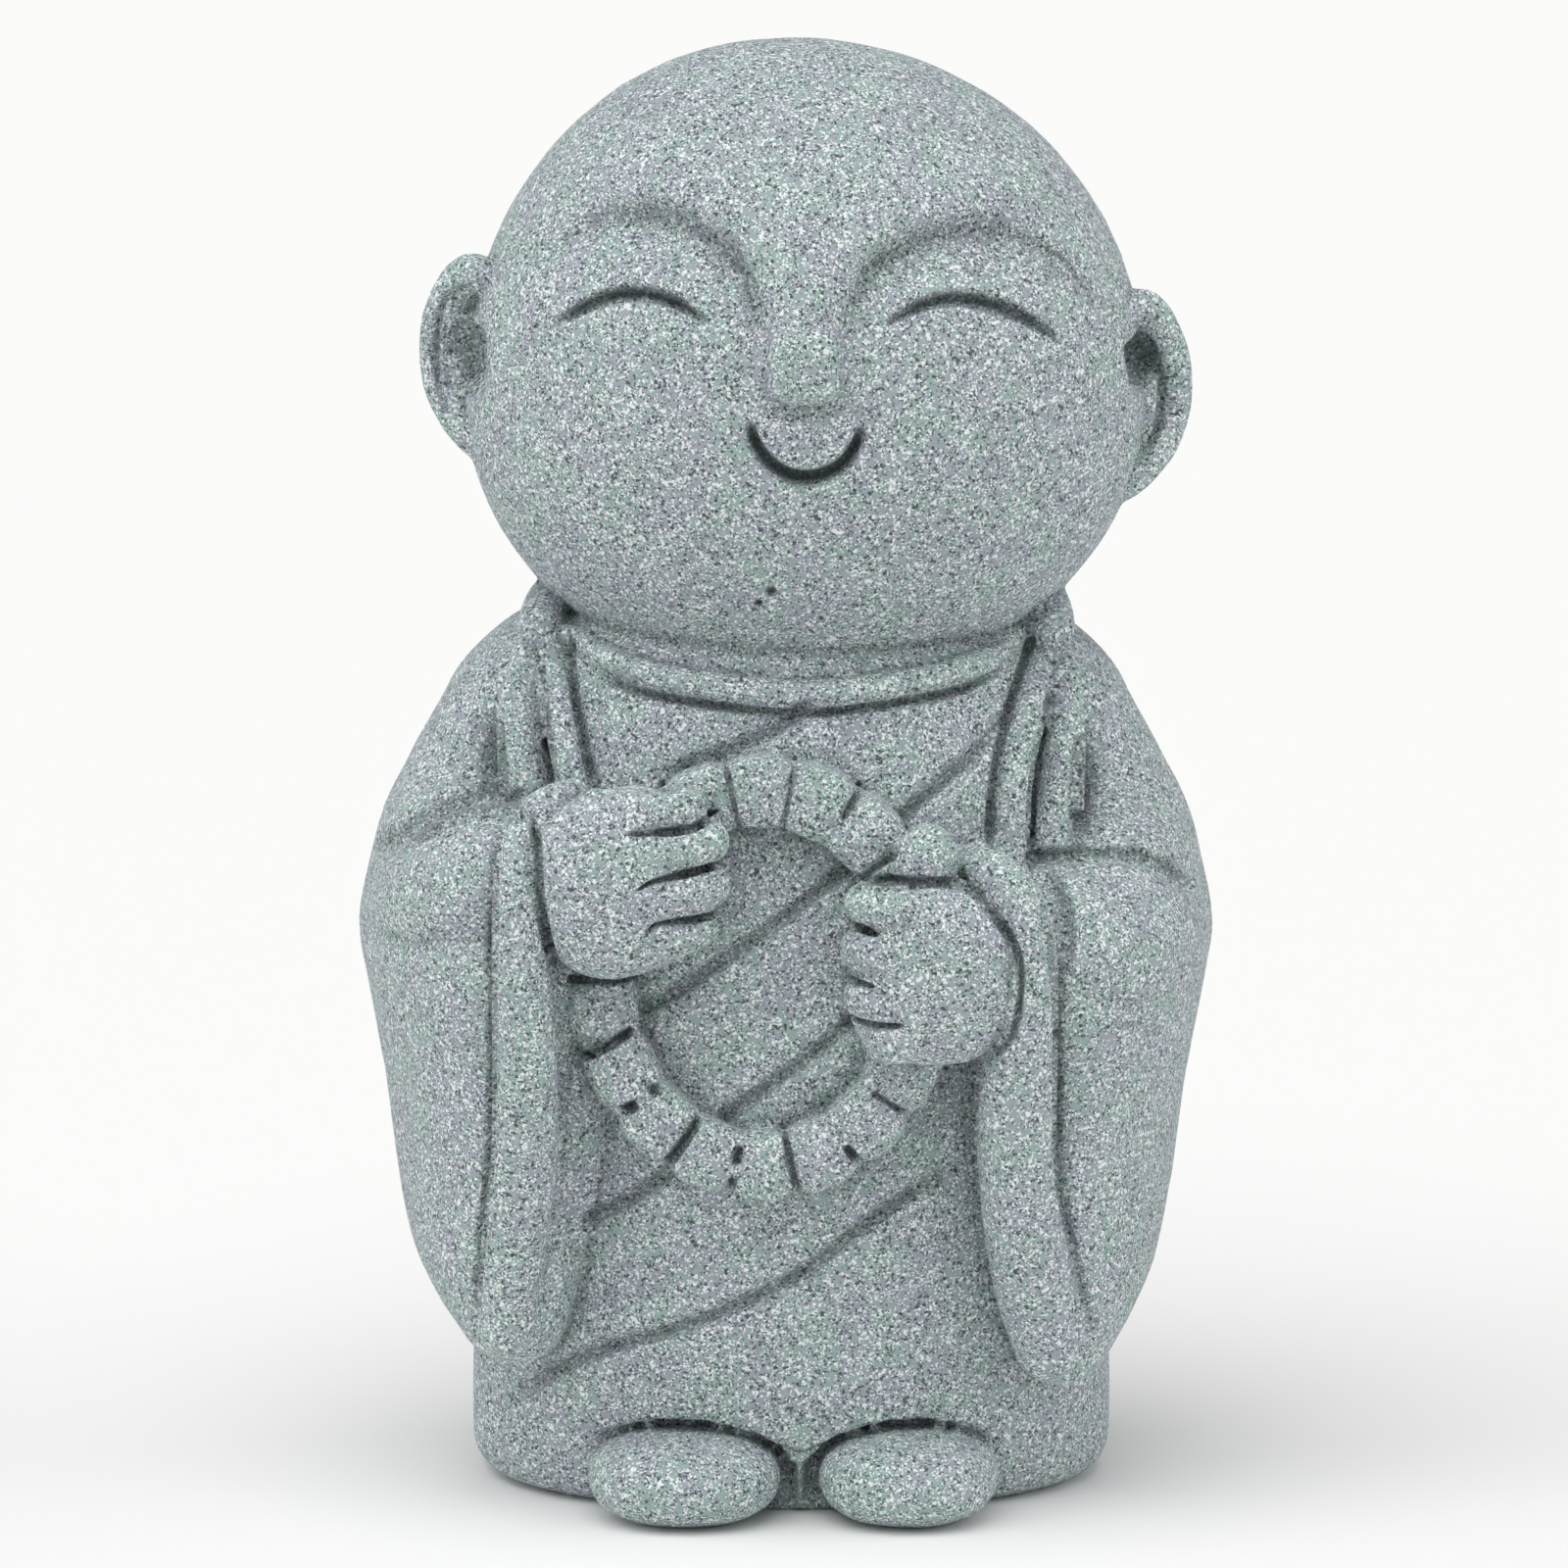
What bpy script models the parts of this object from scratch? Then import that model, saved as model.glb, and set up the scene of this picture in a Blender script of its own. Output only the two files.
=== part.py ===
"""Small cast-stone monk, standing, with a ring of prayer beads held in both hands.

The real thing is poured in one go, so it is one closed solid with a flat underside. Every form below is
placed in hundredths of the statue's height, because pose, proportions and carving all follow that height:
x runs to the viewer's right, y to the back and z up, from the middle of the underside. Each form is a closed
mesh of its own. They are fused into one skin by a voxel remesh, softened, thinned and cut flat at the foot.
"""

import math
from dataclasses import dataclass

import bmesh
import bpy
import numpy as np
from mathutils import Euler, Matrix, Vector

# Driving dimensions, in metres
HEIGHT = 0.100
SKIN_VOXEL = 0.00036
TRIANGLES = 9600

# One hundredth of the height, in metres. All sizes further down are counted in it.
SHARE = HEIGHT / 100

FRONT = -1
BACK = 1

# How many points go round one level of the robe and of an arm
ROBE_POINTS = 320
ARM_POINTS = 160

# A line with this cover cuts whatever stands in front of the robe
ANYWHERE = 99.0


@dataclass(frozen=True)
class Side:
    """One arm with its sleeve and hand. The two arms are posed at different heights."""

    sign: int
    reach: float
    cuff_height: float
    elbow_height: float


# The viewer's left arm holds the ring high, the viewer's right arm holds it lower.
HIGH_ARM = Side(sign=-1, reach=1.0, cuff_height=44.3, elbow_height=39.0)
LOW_ARM = Side(sign=1, reach=0.975, cuff_height=39.8, elbow_height=36.8)


def clear_scene():
    """Removes whatever the startup file holds."""
    for item in list(bpy.data.objects):
        bpy.data.objects.remove(item, do_unlink=True)


def smooth_path(controls, per_span=10):
    """Rows of a Catmull-Rom curve through the control rows, whatever their columns mean."""
    rows = np.array(controls, float)
    ends = np.vstack([2 * rows[0] - rows[1], rows, 2 * rows[-1] - rows[-2]])
    t = np.linspace(0, 1, per_span, endpoint=False)[:, None]
    spans = [
        0.5 * (2 * b + (c - a) * t + (2 * a - 5 * b + 4 * c - d) * t**2 + (3 * b - a - 3 * c + d) * t**3)
        for a, b, c, d in zip(ends, ends[1:], ends[2:], ends[3:])
    ]
    return np.vstack([*spans, rows[-1:]])


def loft(rings):
    """Closed mesh through rings of equal point counts, given bottom first and turning anticlockwise."""
    rings = np.asarray(rings, float)
    index = np.arange(rings.shape[0] * rings.shape[1]).reshape(rings.shape[:2])
    low, high = index[:-1], index[1:]
    quads = np.stack([low, np.roll(low, -1, 1), np.roll(high, -1, 1), high], -1).reshape(-1, 4)
    caps = [index[0][::-1].tolist(), index[-1].tolist()]
    mesh = bpy.data.meshes.new("loft")
    mesh.from_pydata((rings.reshape(-1, 3) * SHARE).tolist(), [], quads.tolist() + caps)
    mesh.validate()
    return mesh


def ball(centre, radii, turn=(0, 0, 0), squareness=2.0, segments=64):
    """A sphere stretched to three radii, turned in degrees. Squareness over 2 fills its corners out."""
    shape = bmesh.new()
    bmesh.ops.create_uvsphere(shape, u_segments=segments, v_segments=segments // 2, radius=1)
    for vert in shape.verts:
        size = sum(abs(c) ** squareness for c in vert.co) ** (1 / squareness)
        vert.co /= size
    rotation = Euler([math.radians(a) for a in turn]).to_matrix().to_4x4()
    place = Matrix.Translation(Vector(centre) * SHARE) @ rotation
    shape.transform(place @ Matrix.Diagonal((*(Vector(radii) * SHARE), 1)))
    mesh = bpy.data.meshes.new("ball")
    shape.to_mesh(mesh)
    shape.free()
    return mesh


def tube(controls, closed=False, per_span=10, round_end=True):
    """A round rope through rows of x, y, z and radius, with a ball on each open end."""
    path = np.array(controls, float) if closed else smooth_path(controls, per_span)
    curve = bpy.data.curves.new("tube", "CURVE")
    curve.dimensions = "3D"
    curve.bevel_depth = SHARE
    curve.bevel_resolution = 6
    curve.use_fill_caps = True
    spline = curve.splines.new("POLY")
    spline.points.add(len(path) - 1)
    spline.use_cyclic_u = closed
    for point, (x, y, z, radius) in zip(spline.points, path):
        point.co = (x * SHARE, y * SHARE, z * SHARE, 1)
        point.radius = radius
    rope = bpy.data.objects.new("tube", curve)
    bpy.context.scene.collection.objects.link(rope)
    bpy.context.view_layer.update()
    mesh = bpy.data.meshes.new_from_object(rope.evaluated_get(bpy.context.evaluated_depsgraph_get()))
    bpy.data.objects.remove(rope)
    bpy.data.curves.remove(curve)
    weld(mesh)
    if closed:
        return [mesh]
    ends = (path[0], path[-1]) if round_end else (path[0],)
    return [mesh, *(ball(end[:3], (end[3],) * 3, segments=24) for end in ends)]


def weld(mesh):
    """Joins a curve's loose caps to its sides."""
    shape = bmesh.new()
    shape.from_mesh(mesh)
    bmesh.ops.remove_doubles(shape, verts=shape.verts, dist=SHARE * 0.001)
    bmesh.ops.recalc_face_normals(shape, faces=shape.faces)
    shape.to_mesh(mesh)
    shape.free()


def points_of(mesh):
    """The mesh's points in hundredths, and its normals."""
    count = len(mesh.vertices)
    points = np.empty(count * 3, np.float32)
    normals = np.empty(count * 3, np.float32)
    mesh.vertices.foreach_get("co", points)
    mesh.vertices.foreach_get("normal", normals)
    return points.reshape(-1, 3) / SHARE, normals.reshape(-1, 3)


def move_to(mesh, points):
    """Puts the mesh's points at these places, given in hundredths."""
    mesh.vertices.foreach_set("co", (points * SHARE).astype(np.float32).ravel())
    mesh.update()


def emboss(mesh, height_at):
    """Raises the mesh along its normals by height_at(points, normals), all in hundredths."""
    points, normals = points_of(mesh)
    move_to(mesh, points + normals * height_at(points, normals)[:, None])


def hollow(mesh, centre, radii, wall, arch=False):
    """Pushes the front of the mesh back out of an egg-shaped recess, no deeper than the wall, which is a y.

    An arch is open below its middle.
    """
    points, _ = points_of(mesh)
    x, y, z = (points - centre).T / np.array(radii)[:, None]
    up = np.clip(z, 0, None) if arch else z
    room = 1 - x**2 - up**2
    floor = np.minimum(centre[1] + radii[1] * np.sqrt(np.clip(room, 0, None)), wall)
    caught = (room > 0) & (points[:, 1] < floor)
    points[caught, 1] = floor[caught]
    move_to(mesh, points)


def along_stroke(points, controls, per_span=10):
    """How far each point lies from a stroke seen from the front, signed with above positive, and its share
    of the way along it."""
    path = smooth_path(controls, per_span)
    flat = points[:, [0, 2]]
    best = np.full(len(flat), np.inf)
    signed = np.zeros(len(flat))
    share = np.zeros(len(flat))
    lengths = np.linalg.norm(np.diff(path, axis=0), axis=1)
    starts = np.concatenate([[0], np.cumsum(lengths)])
    for start, end, before, length in zip(path, path[1:], starts, lengths):
        run = end - start
        t = np.clip((flat - start) @ run / length**2, 0, 1)
        gap = flat - (start + t[:, None] * run)
        distance = np.linalg.norm(gap, axis=1)
        nearer = distance < best
        side = np.sign(run[0] * gap[:, 1] - run[1] * gap[:, 0])
        best = np.where(nearer, distance, best)
        signed = np.where(nearer, distance * side, signed)
        share = np.where(nearer, (before + t * length) / starts[-1], share)
    return signed, share


def bell(distance, width, wall=2):
    """A bump of height 1 that has faded out at about twice its width. A higher wall makes it steeper."""
    return np.exp(-(np.abs(distance / width) ** wall))


def fade(share, run_in=0.15):
    """0 at both ends of a stroke and 1 between them."""
    return np.clip(np.minimum(share, 1 - share) / run_in, 0, 1) ** 0.5


@dataclass(frozen=True)
class Stroke:
    """One line of the chisel, drawn as the statue is seen from in front or behind.

    The path holds x and z. The widths are half widths above and below the line as it runs to the right.
    Cover is how far in front of the robe the line still cuts.
    """

    path: tuple
    depth: float
    above: float = 0.45
    below: float = 0.45
    cover: float = 1.3
    facing: int = FRONT
    run_in: float = 0.12


def carve(mesh, strokes):
    """Cuts every stroke into the skin."""
    points, normals = points_of(mesh)
    cut = np.zeros(len(points))
    for stroke in strokes:
        path = np.array(stroke.path, float)
        margin = 2.5 * max(stroke.above, stroke.below) + 1
        low, high = path.min(0) - margin, path.max(0) + margin
        flat = points[:, [0, 2]]
        near = ((flat > low) & (flat < high)).all(1) & (normals[:, 1] * stroke.facing > 0.12)
        if stroke.facing == FRONT:
            near &= points[:, 1] > belly_front(points[:, 0], points[:, 2]) - stroke.cover
        signed, share = along_stroke(points[near], stroke.path)
        width = np.where(signed > 0, stroke.above, stroke.below)
        cut[near] = np.maximum(cut[near], stroke.depth * bell(signed, width) * fade(share, stroke.run_in))
    move_to(mesh, points - normals * cut[:, None])


def swell(points, controls, rise=0.45, spread=2.4):
    """Cloth standing up below a fold line, and a little above it."""
    signed, share = along_stroke(points, controls)
    lower = rise * bell(signed + spread * 0.6, spread) * (signed < 0)
    upper = 0.5 * rise * bell(signed - spread * 0.5, spread * 0.6) * (signed > 0)
    return (lower + upper) * fade(share, 0.12)


def oval(radius_across, radius_along, corner, points):
    """Points round a squarish oval, anticlockwise."""
    turn = np.linspace(0, 2 * math.pi, points, endpoint=False)
    cosine, sine = np.cos(turn), np.sin(turn)
    across = radius_across * np.sign(cosine) * np.abs(cosine) ** (2 / corner)
    along = radius_along * np.sign(sine) * np.abs(sine) ** (2 / corner)
    return across, along


ROBE_CORNER = 2.25


def plan_ring(half_width, front_depth, back_depth, height):
    """One level of the robe: an oval in plan that is deeper in front than behind."""
    x, y = oval(half_width, 1, ROBE_CORNER, ROBE_POINTS)
    y *= np.where(y < 0, front_depth, back_depth)
    return np.column_stack([x, y, np.full(ROBE_POINTS, height)])


# Robe levels: height, half width, depth in front, depth behind
ROBE_LEVELS = (
    (-1.6, 17.4, 10.6, 11.2),
    (0.0, 19.8, 13.0, 13.6),
    (0.8, 21.3, 14.5, 15.0),
    (2.2, 22.1, 15.5, 16.0),
    (5.0, 22.2, 16.3, 16.7),
    (10.0, 22.1, 17.2, 17.0),
    (20.0, 21.6, 18.1, 17.3),
    (30.0, 21.4, 18.8, 17.4),
    (38.0, 21.6, 18.5, 17.3),
    (45.0, 21.4, 17.6, 16.9),
    (51.0, 20.4, 16.4, 16.2),
    (55.5, 19.0, 15.3, 15.2),
    (58.5, 17.8, 14.3, 14.2),
    (60.4, 16.4, 13.0, 13.2),
    (61.6, 13.6, 10.8, 11.2),
    (62.2, 9.0, 8.0, 8.0),
)

# Folds of the robe's front, as x and z of points that each line passes
FRONT_FOLDS = (
    ((-19.4, 7.0), (-14.2, 11.1), (-6.1, 14.3), (0.4, 17.6), (5.7, 21.6), (11.5, 25.2)),
    ((-16.5, 19.4), (-11.3, 22.5), (-7.4, 25.6), (-4.0, 29.0), (1.7, 33.3), (6.0, 37.0), (11.0, 40.0)),
    ((-11.5, 34.8), (-4.0, 40.0), (1.4, 43.8), (8.2, 49.5), (12.7, 53.0), (15.0, 55.4)),
    ((-8.6, 51.6), (-4.0, 53.4), (-1.3, 54.7), (1.6, 56.8)),
)

# Folds of the robe's back, falling from the viewer's left shoulder as the back is looked at
BACK_FOLDS = (
    ((15.0, 6.5), (6.0, 12.0), (-6.0, 19.0), (-15.0, 27.0)),
    ((16.5, 19.0), (7.0, 26.0), (-4.0, 34.0), (-13.0, 44.0)),
    ((15.0, 34.0), (7.0, 40.0), (-1.0, 47.0), (-8.0, 55.0)),
)

# The feet: x of the middle, and half length across
FEET = ((-7.3, 6.6), (8.0, 6.15))
FOOT_LENGTH = 7.0
FOOT_HEIGHT = 3.25
FOOT_BACK = -14.4
FOOT_LEVEL = 2.9
HEM_GAP = 1.05
HEM_OVERHANG = 0.3
HEM_WALL = -13.4


def foot(middle, half_width):
    """A pebble of a foot."""
    return ball((middle, FOOT_BACK, FOOT_LEVEL), (half_width, FOOT_LENGTH, FOOT_HEIGHT), squareness=2.3)


def robe_relief(points, normals):
    """Cloth standing up along the folds of the robe, in front and behind."""
    height = np.zeros(len(points))
    front = np.clip(-normals[:, 1] * 2, 0, 1)
    back = np.clip(normals[:, 1] * 2, 0, 1)
    for fold in FRONT_FOLDS:
        height += swell(points, fold) * front
    for fold in BACK_FOLDS:
        height += swell(points, fold) * back
    return height


def robe():
    """The robed body from hem to neck."""
    levels = smooth_path(ROBE_LEVELS, per_span=16)
    mesh = loft([plan_ring(a, front, back, z) for z, a, front, back in levels])
    emboss(mesh, robe_relief)
    for middle, half_width in FEET:
        radii = (half_width + HEM_GAP + HEM_OVERHANG, FOOT_LENGTH, FOOT_HEIGHT + HEM_GAP)
        hollow(mesh, (middle, FOOT_BACK, FOOT_LEVEL), radii, HEM_WALL, arch=True)
    return [mesh]


# The arm and its hanging sleeve, level by level: height, x and y of the middle, half thickness,
# half length, and the turn in degrees that carries its front edge inwards
ARM_LEVELS = (
    (9.3, 19.4, -12.4, 1.5, 3.0, 12),
    (10.1, 19.3, -11.6, 2.6, 5.6, 12),
    (11.5, 19.5, -10.4, 3.4, 7.8, 12),
    (13.6, 19.9, -8.8, 4.3, 9.8, 13),
    (16.3, 20.2, -7.2, 5.2, 11.4, 13),
    (21.1, 20.6, -5.8, 5.8, 12.8, 13),
    (27.6, 20.8, -5.0, 6.5, 14.0, 13),
    (31.2, 20.9, -4.6, 7.1, 14.6, 13),
    (34.7, 21.0, -4.6, 7.6, 15.6, 13),
    (38.5, 21.1, -4.4, 8.2, 16.0, 12),
    (42.0, 20.7, -3.4, 8.3, 15.6, 10),
    (46.3, 19.7, -0.6, 8.6, 12.6, 4),
    (50.2, 18.1, 1.4, 8.3, 10.0, 0),
    (54.0, 16.7, 1.3, 7.6, 9.3, 0),
    (56.5, 16.0, 1.2, 6.9, 8.6, 0),
    (58.8, 15.2, 1.0, 5.5, 7.3, 0),
    (60.4, 14.8, 1.0, 3.6, 5.0, 0),
    (61.1, 14.5, 1.0, 1.5, 2.5, 0),
)
ARM_CORNER = 2.2


def arm_ring(side, level):
    """One level of an arm: an oval turned about the upright axis."""
    height, x, y, thick, long, turned = level
    across, along = oval(thick, long, ARM_CORNER, ARM_POINTS)
    angle = math.radians(turned)
    flat_x = x + across * math.cos(angle) + along * math.sin(angle)
    flat_y = y - across * math.sin(angle) + along * math.cos(angle)
    ring = np.column_stack([flat_x * side.reach * side.sign, flat_y, np.full(ARM_POINTS, height)])
    return ring if side.sign > 0 else ring[::-1]


# The dimple between shoulder and chest, above each forearm: x, y and z of its middle
DIMPLES = {HIGH_ARM: (-20.5, -10.2, 51.4), LOW_ARM: (20.6, -10.2, 48.6)}
DIMPLE_RADII = (1.2, 5.4, 3.6)
DIMPLE_WALL = -5.4


def arm(side):
    """Shoulder, upper arm and hanging sleeve in one mass."""
    mesh = loft([arm_ring(side, level) for level in smooth_path(ARM_LEVELS, per_span=10)])
    hollow(mesh, DIMPLES[side], DIMPLE_RADII, DIMPLE_WALL)
    return [mesh]


def mirrored(side, rows):
    """Rows drawn for an arm at +x, moved to that side."""
    return [(x * side.reach * side.sign, y, *rest) for x, y, *rest in rows]


def forearm(side):
    """The sleeved forearm, coming round from the elbow to the cuff."""
    elbow, cuff = side.elbow_height, side.cuff_height
    rows = (
        (21.0, 3.0, elbow, 7.0),
        (22.6, -4.6, elbow + 1.4, 6.5),
        (22.0, -10.2, elbow + 3.0, 6.0),
        (20.4, -14.0, cuff - 0.6, 5.7),
        (17.2, -15.6, cuff, 5.5),
    )
    return tube(mirrored(side, rows), round_end=False)


def sleeve_lining(side):
    """Cloth that fills the corner between the hanging sleeve and the body."""
    rows = (
        (13.6, -13.6, 45.0, 2.6),
        (15.0, -13.8, 38.0, 3.6),
        (15.4, -13.8, 28.0, 3.6),
        (16.4, -13.0, 19.0, 3.2),
        (17.6, -11.6, 13.0, 2.4),
    )
    return tube(mirrored(side, rows))


def cuff_band(side):
    """The rolled edge of the sleeve, from above the wrist down to the hanging tip."""
    top = side.cuff_height + 5.9
    rows = (
        (14.6, -17.0, top, 1.2),
        (16.4, -19.4, top - 0.9, 1.6),
        (18.0, -20.9, top - 3.8, 2.0),
        (18.2, -21.3, top - 9.0, 2.25),
        (17.8, -20.6, top - 14.5, 2.3),
        (17.6, -19.6, 24.0, 2.3),
        (18.0, -18.4, 17.0, 2.3),
        (18.8, -17.4, 12.4, 2.15),
    )
    return tube(mirrored(side, rows))


def on_robe(rows, proud):
    """Rows of x, z and radius laid on the robe's front, that far in front of it."""
    return [(x, belly_front(x, z) - proud, z, radius) for x, z, radius in rows]


def inner_collar():
    """The thin rolled neck edge of the under-robe."""
    rows = (
        (-15.2, 60.0, 0.7),
        (-11.2, 58.6, 0.85),
        (-6.0, 57.7, 0.95),
        (0.6, 57.1, 1.0),
        (7.2, 57.7, 0.95),
        (12.6, 58.6, 0.85),
        (16.2, 60.0, 0.7),
    )
    return tube(on_robe(rows, proud=0.4))


def lapel():
    """The outer robe's edge: up one side of the chest, round the nape and down the other."""
    left = ((-13.8, 43.5, 1.2), (-14.9, 51.0, 1.3), (-15.7, 55.0, 1.4), (-16.6, 58.6, 1.5))
    nape = (
        (-17.1, -5.0, 60.6, 1.6),
        (-15.4, 5.0, 61.3, 1.7),
        (-9.0, 12.4, 61.0, 1.7),
        (0.5, 14.8, 60.8, 1.7),
        (10.0, 12.4, 61.0, 1.7),
        (16.4, 5.0, 61.2, 1.7),
        (17.8, -5.0, 60.6, 1.6),
    )
    right = ((17.2, 58.4, 1.5), (16.0, 55.0, 1.4), (15.1, 51.0, 1.3), (14.2, 41.5, 1.2))
    rows = on_robe(left, proud=0.8) + list(nape) + on_robe(right, proud=0.8)
    return tube(rows, per_span=8)


def shoulder_folds():
    """The strip of cloth beside each lapel, with the dimple on its far side."""
    left = ((-18.3, -7.4, 58.6, 0.9), (-18.6, -9.2, 54.6, 1.5), (-18.0, -11.4, 49.0, 1.9))
    right = ((18.9, -7.6, 57.4, 0.9), (18.6, -9.6, 52.4, 1.5), (17.8, -12.0, 45.8, 2.0))
    return tube(left) + tube(right)


# The head rests in the neck of the robe, its chin sunk into the collar
CHIN_SUNK = 7.2
HEAD_HALF_WIDTH = 23.4
HEAD_TOP = 24.4
HEAD_BOTTOM = 20.6
HEAD_CENTRE = (0.95, 0.0, ROBE_LEVELS[-1][0] - CHIN_SUNK + HEAD_BOTTOM)
HEAD_FRONT = 20.4
HEAD_BACK = 21.6
HEAD_CORNER = 2.06
CROWN_LEAN = 0.9
JAW_TAPER = 0.06
EAR_HALF_HEIGHT = 6.7
EAR_TURN = 18

def on_face(*lines):
    """Lines drawn from the middle of the head, as x and z, moved to where the head is."""
    return tuple(tuple((x + HEAD_CENTRE[0], z + HEAD_CENTRE[2]) for x, z in line) for line in lines)


BROWS = on_face(
    ((-2.7, 3.4), (-3.3, 8.4), (-5.4, 12.0), (-9.5, 14.0), (-14.2, 13.3), (-18.8, 9.2)),
    ((2.5, 3.4), (3.0, 7.9), (5.1, 11.3), (9.3, 13.0), (14.3, 12.4), (19.7, 7.3)),
)
EYES = on_face(
    ((-16.9, 6.4), (-14.3, 8.0), (-11.7, 8.8), (-8.9, 8.5), (-6.6, 7.2)),
    ((5.4, 7.2), (8.0, 8.3), (10.7, 8.5), (14.0, 7.4), (17.1, 5.3)),
)
SMILE, NOSE = on_face(
    ((-3.8, 0.8), (-3.4, -0.7), (-2.1, -2.3), (0.0, -3.0), (2.1, -2.3), (3.3, -0.8), (3.7, 0.5)),
    ((-0.1, 16.4), (-0.1, 8.4), (0.0, 2.2)),
)
NOSE_HALF_WIDTH = 2.4
NOSE_RISE = 1.5
NOSE_TIP_RADII = (2.5, 2.6, 2.0)
NOSE_TIP_RAISED = 4.1
EYE_HOLLOW = 1.3
BROW_RISE = 0.4


def head_relief(points, normals):
    """Forehead, eye hollows and nose, drawn as a doll's face is."""
    height = np.zeros(len(points))
    for brow in BROWS:
        signed, share = along_stroke(points, brow)
        inward = signed if brow[0][0] > brow[-1][0] else -signed
        ends = np.clip(np.minimum(share, 1 - share) / 0.35, 0, 1) ** 1.5
        height -= EYE_HOLLOW * np.where(inward > 0, bell(inward, 3.4), bell(inward, 0.5)) * ends
        height += BROW_RISE * bell(inward + 2.2, 1.6) * ends
    signed, share = along_stroke(points, NOSE)
    ridge = bell(signed, NOSE_HALF_WIDTH * (0.7 + 0.3 * share), wall=3)
    height += NOSE_RISE * (0.25 + 0.75 * share**2) * ridge * np.clip(np.minimum(share, 1 - share) * 6, 0, 1)
    return height * np.clip(-normals[:, 1] * 2.5, 0, 1)


def head():
    """The bald head, wide at the cheeks, with its face and the round tip of its nose."""
    shape = bmesh.new()
    bmesh.ops.create_uvsphere(shape, u_segments=360, v_segments=240, radius=1)
    for vert in shape.verts:
        size = sum(abs(c) ** HEAD_CORNER for c in vert.co) ** (1 / HEAD_CORNER)
        x, y, z = vert.co / size
        deep = HEAD_FRONT if y < 0 else HEAD_BACK
        tall = HEAD_TOP if z > 0 else HEAD_BOTTOM
        lean, jaw = (-CROWN_LEAN * z**4, 1) if z > 0 else (0, 1 - JAW_TAPER * z**2)
        place = Vector((x * HEAD_HALF_WIDTH * jaw + lean, y * deep, z * tall)) + Vector(HEAD_CENTRE)
        vert.co = place * SHARE
    mesh = bpy.data.meshes.new("head")
    shape.to_mesh(mesh)
    shape.free()
    emboss(mesh, head_relief)
    x, y, z = HEAD_CENTRE
    return [mesh, ball((x, y - HEAD_FRONT, z + NOSE_TIP_RAISED), NOSE_TIP_RADII, squareness=2.4)]


def ear(side, inset, raised):
    """A jug ear: a rolled rim round a plate, raised that far over the middle of the head."""
    s = side.sign
    out = HEAD_CENTRE[0] + s * inset
    middle_height = HEAD_CENTRE[2] + raised
    top = middle_height + EAR_HALF_HEIGHT
    bottom = middle_height - EAR_HALF_HEIGHT
    rim = (
        (out - s * 0.6, -3.4, top - 1.6, 1.2),
        (out + s * 2.2, -3.0, top - 0.2, 1.35),
        (out + s * 4.1, -1.6, middle_height + 3.4, 1.35),
        (out + s * 4.4, -1.0, middle_height - 0.4, 1.3),
        (out + s * 3.3, -1.4, bottom + 3.6, 1.45),
        (out + s * 1.3, -2.6, bottom + 1.6, 1.5),
        (out - s * 0.9, -3.4, bottom + 0.4, 1.2),
    )
    plate = ball(
        (out + s * 1.0, -1.0, middle_height), (4.2, 1.9, EAR_HALF_HEIGHT - 0.6), turn=(0, 0, EAR_TURN * s)
    )
    return [plate, *tube(rim)]


# The bowl of each ear, next to the head
EAR_BOWLS = on_face(
    ((-22.5, 5.2), (-22.9, 3.2), (-22.7, 0.8)),
    ((22.6, 4.4), (23.3, 2.6), (23.2, 0.6)),
)

RING_CENTRE = (-2.0, 38.4)
RING_RADII = (10.9, 12.6)
RING_PROUD = 1.0
STRING_RADIUS = 2.1
BEADS = 18
BEAD_RADIUS = 2.35
FIRST_JOINT_DEGREES = 0.5
RING_COVER = RING_PROUD + BEAD_RADIUS + 1


def belly_front(x, z):
    """How far forward the robe's front lies at that place."""
    levels = np.array(ROBE_LEVELS)
    width = np.interp(z, levels[:, 0], levels[:, 1])
    depth = np.interp(z, levels[:, 0], levels[:, 2])
    room = np.clip(1 - np.abs(x / width) ** ROBE_CORNER, 0, 1)
    return -depth * room ** (1 / ROBE_CORNER)


def ring_point(degrees):
    """Middle of the bead string at that angle, resting half sunk on the belly."""
    angle = math.radians(degrees)
    x = RING_CENTRE[0] + RING_RADII[0] * math.cos(angle)
    z = RING_CENTRE[1] + RING_RADII[1] * math.sin(angle)
    return np.array([x, belly_front(x, z) - RING_PROUD, z])


def bead_ring():
    """A string of barrel beads that lies on the belly."""
    step = 360 / BEADS
    string = [(*ring_point(angle), STRING_RADIUS) for angle in np.arange(0, 360, 3)]
    meshes = tube(string, closed=True)
    for number in range(BEADS):
        middle = FIRST_JOINT_DEGREES + step * (number + 0.5)
        before, after = ring_point(middle - step / 2), ring_point(middle + step / 2)
        run = after - before
        length = np.linalg.norm(run)
        lean = math.degrees(math.atan2(run[2], run[0]))
        radii = (length * 0.52, BEAD_RADIUS, BEAD_RADIUS)
        meshes.append(ball(ring_point(middle), radii, turn=(0, -lean, 0), squareness=4.2, segments=32))
    return meshes


@dataclass(frozen=True)
class Finger:
    """One finger: height and x of its tip, how much lower its knuckle is, and its radius."""

    height: float
    tip: float
    drop: float
    radius: float


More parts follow.
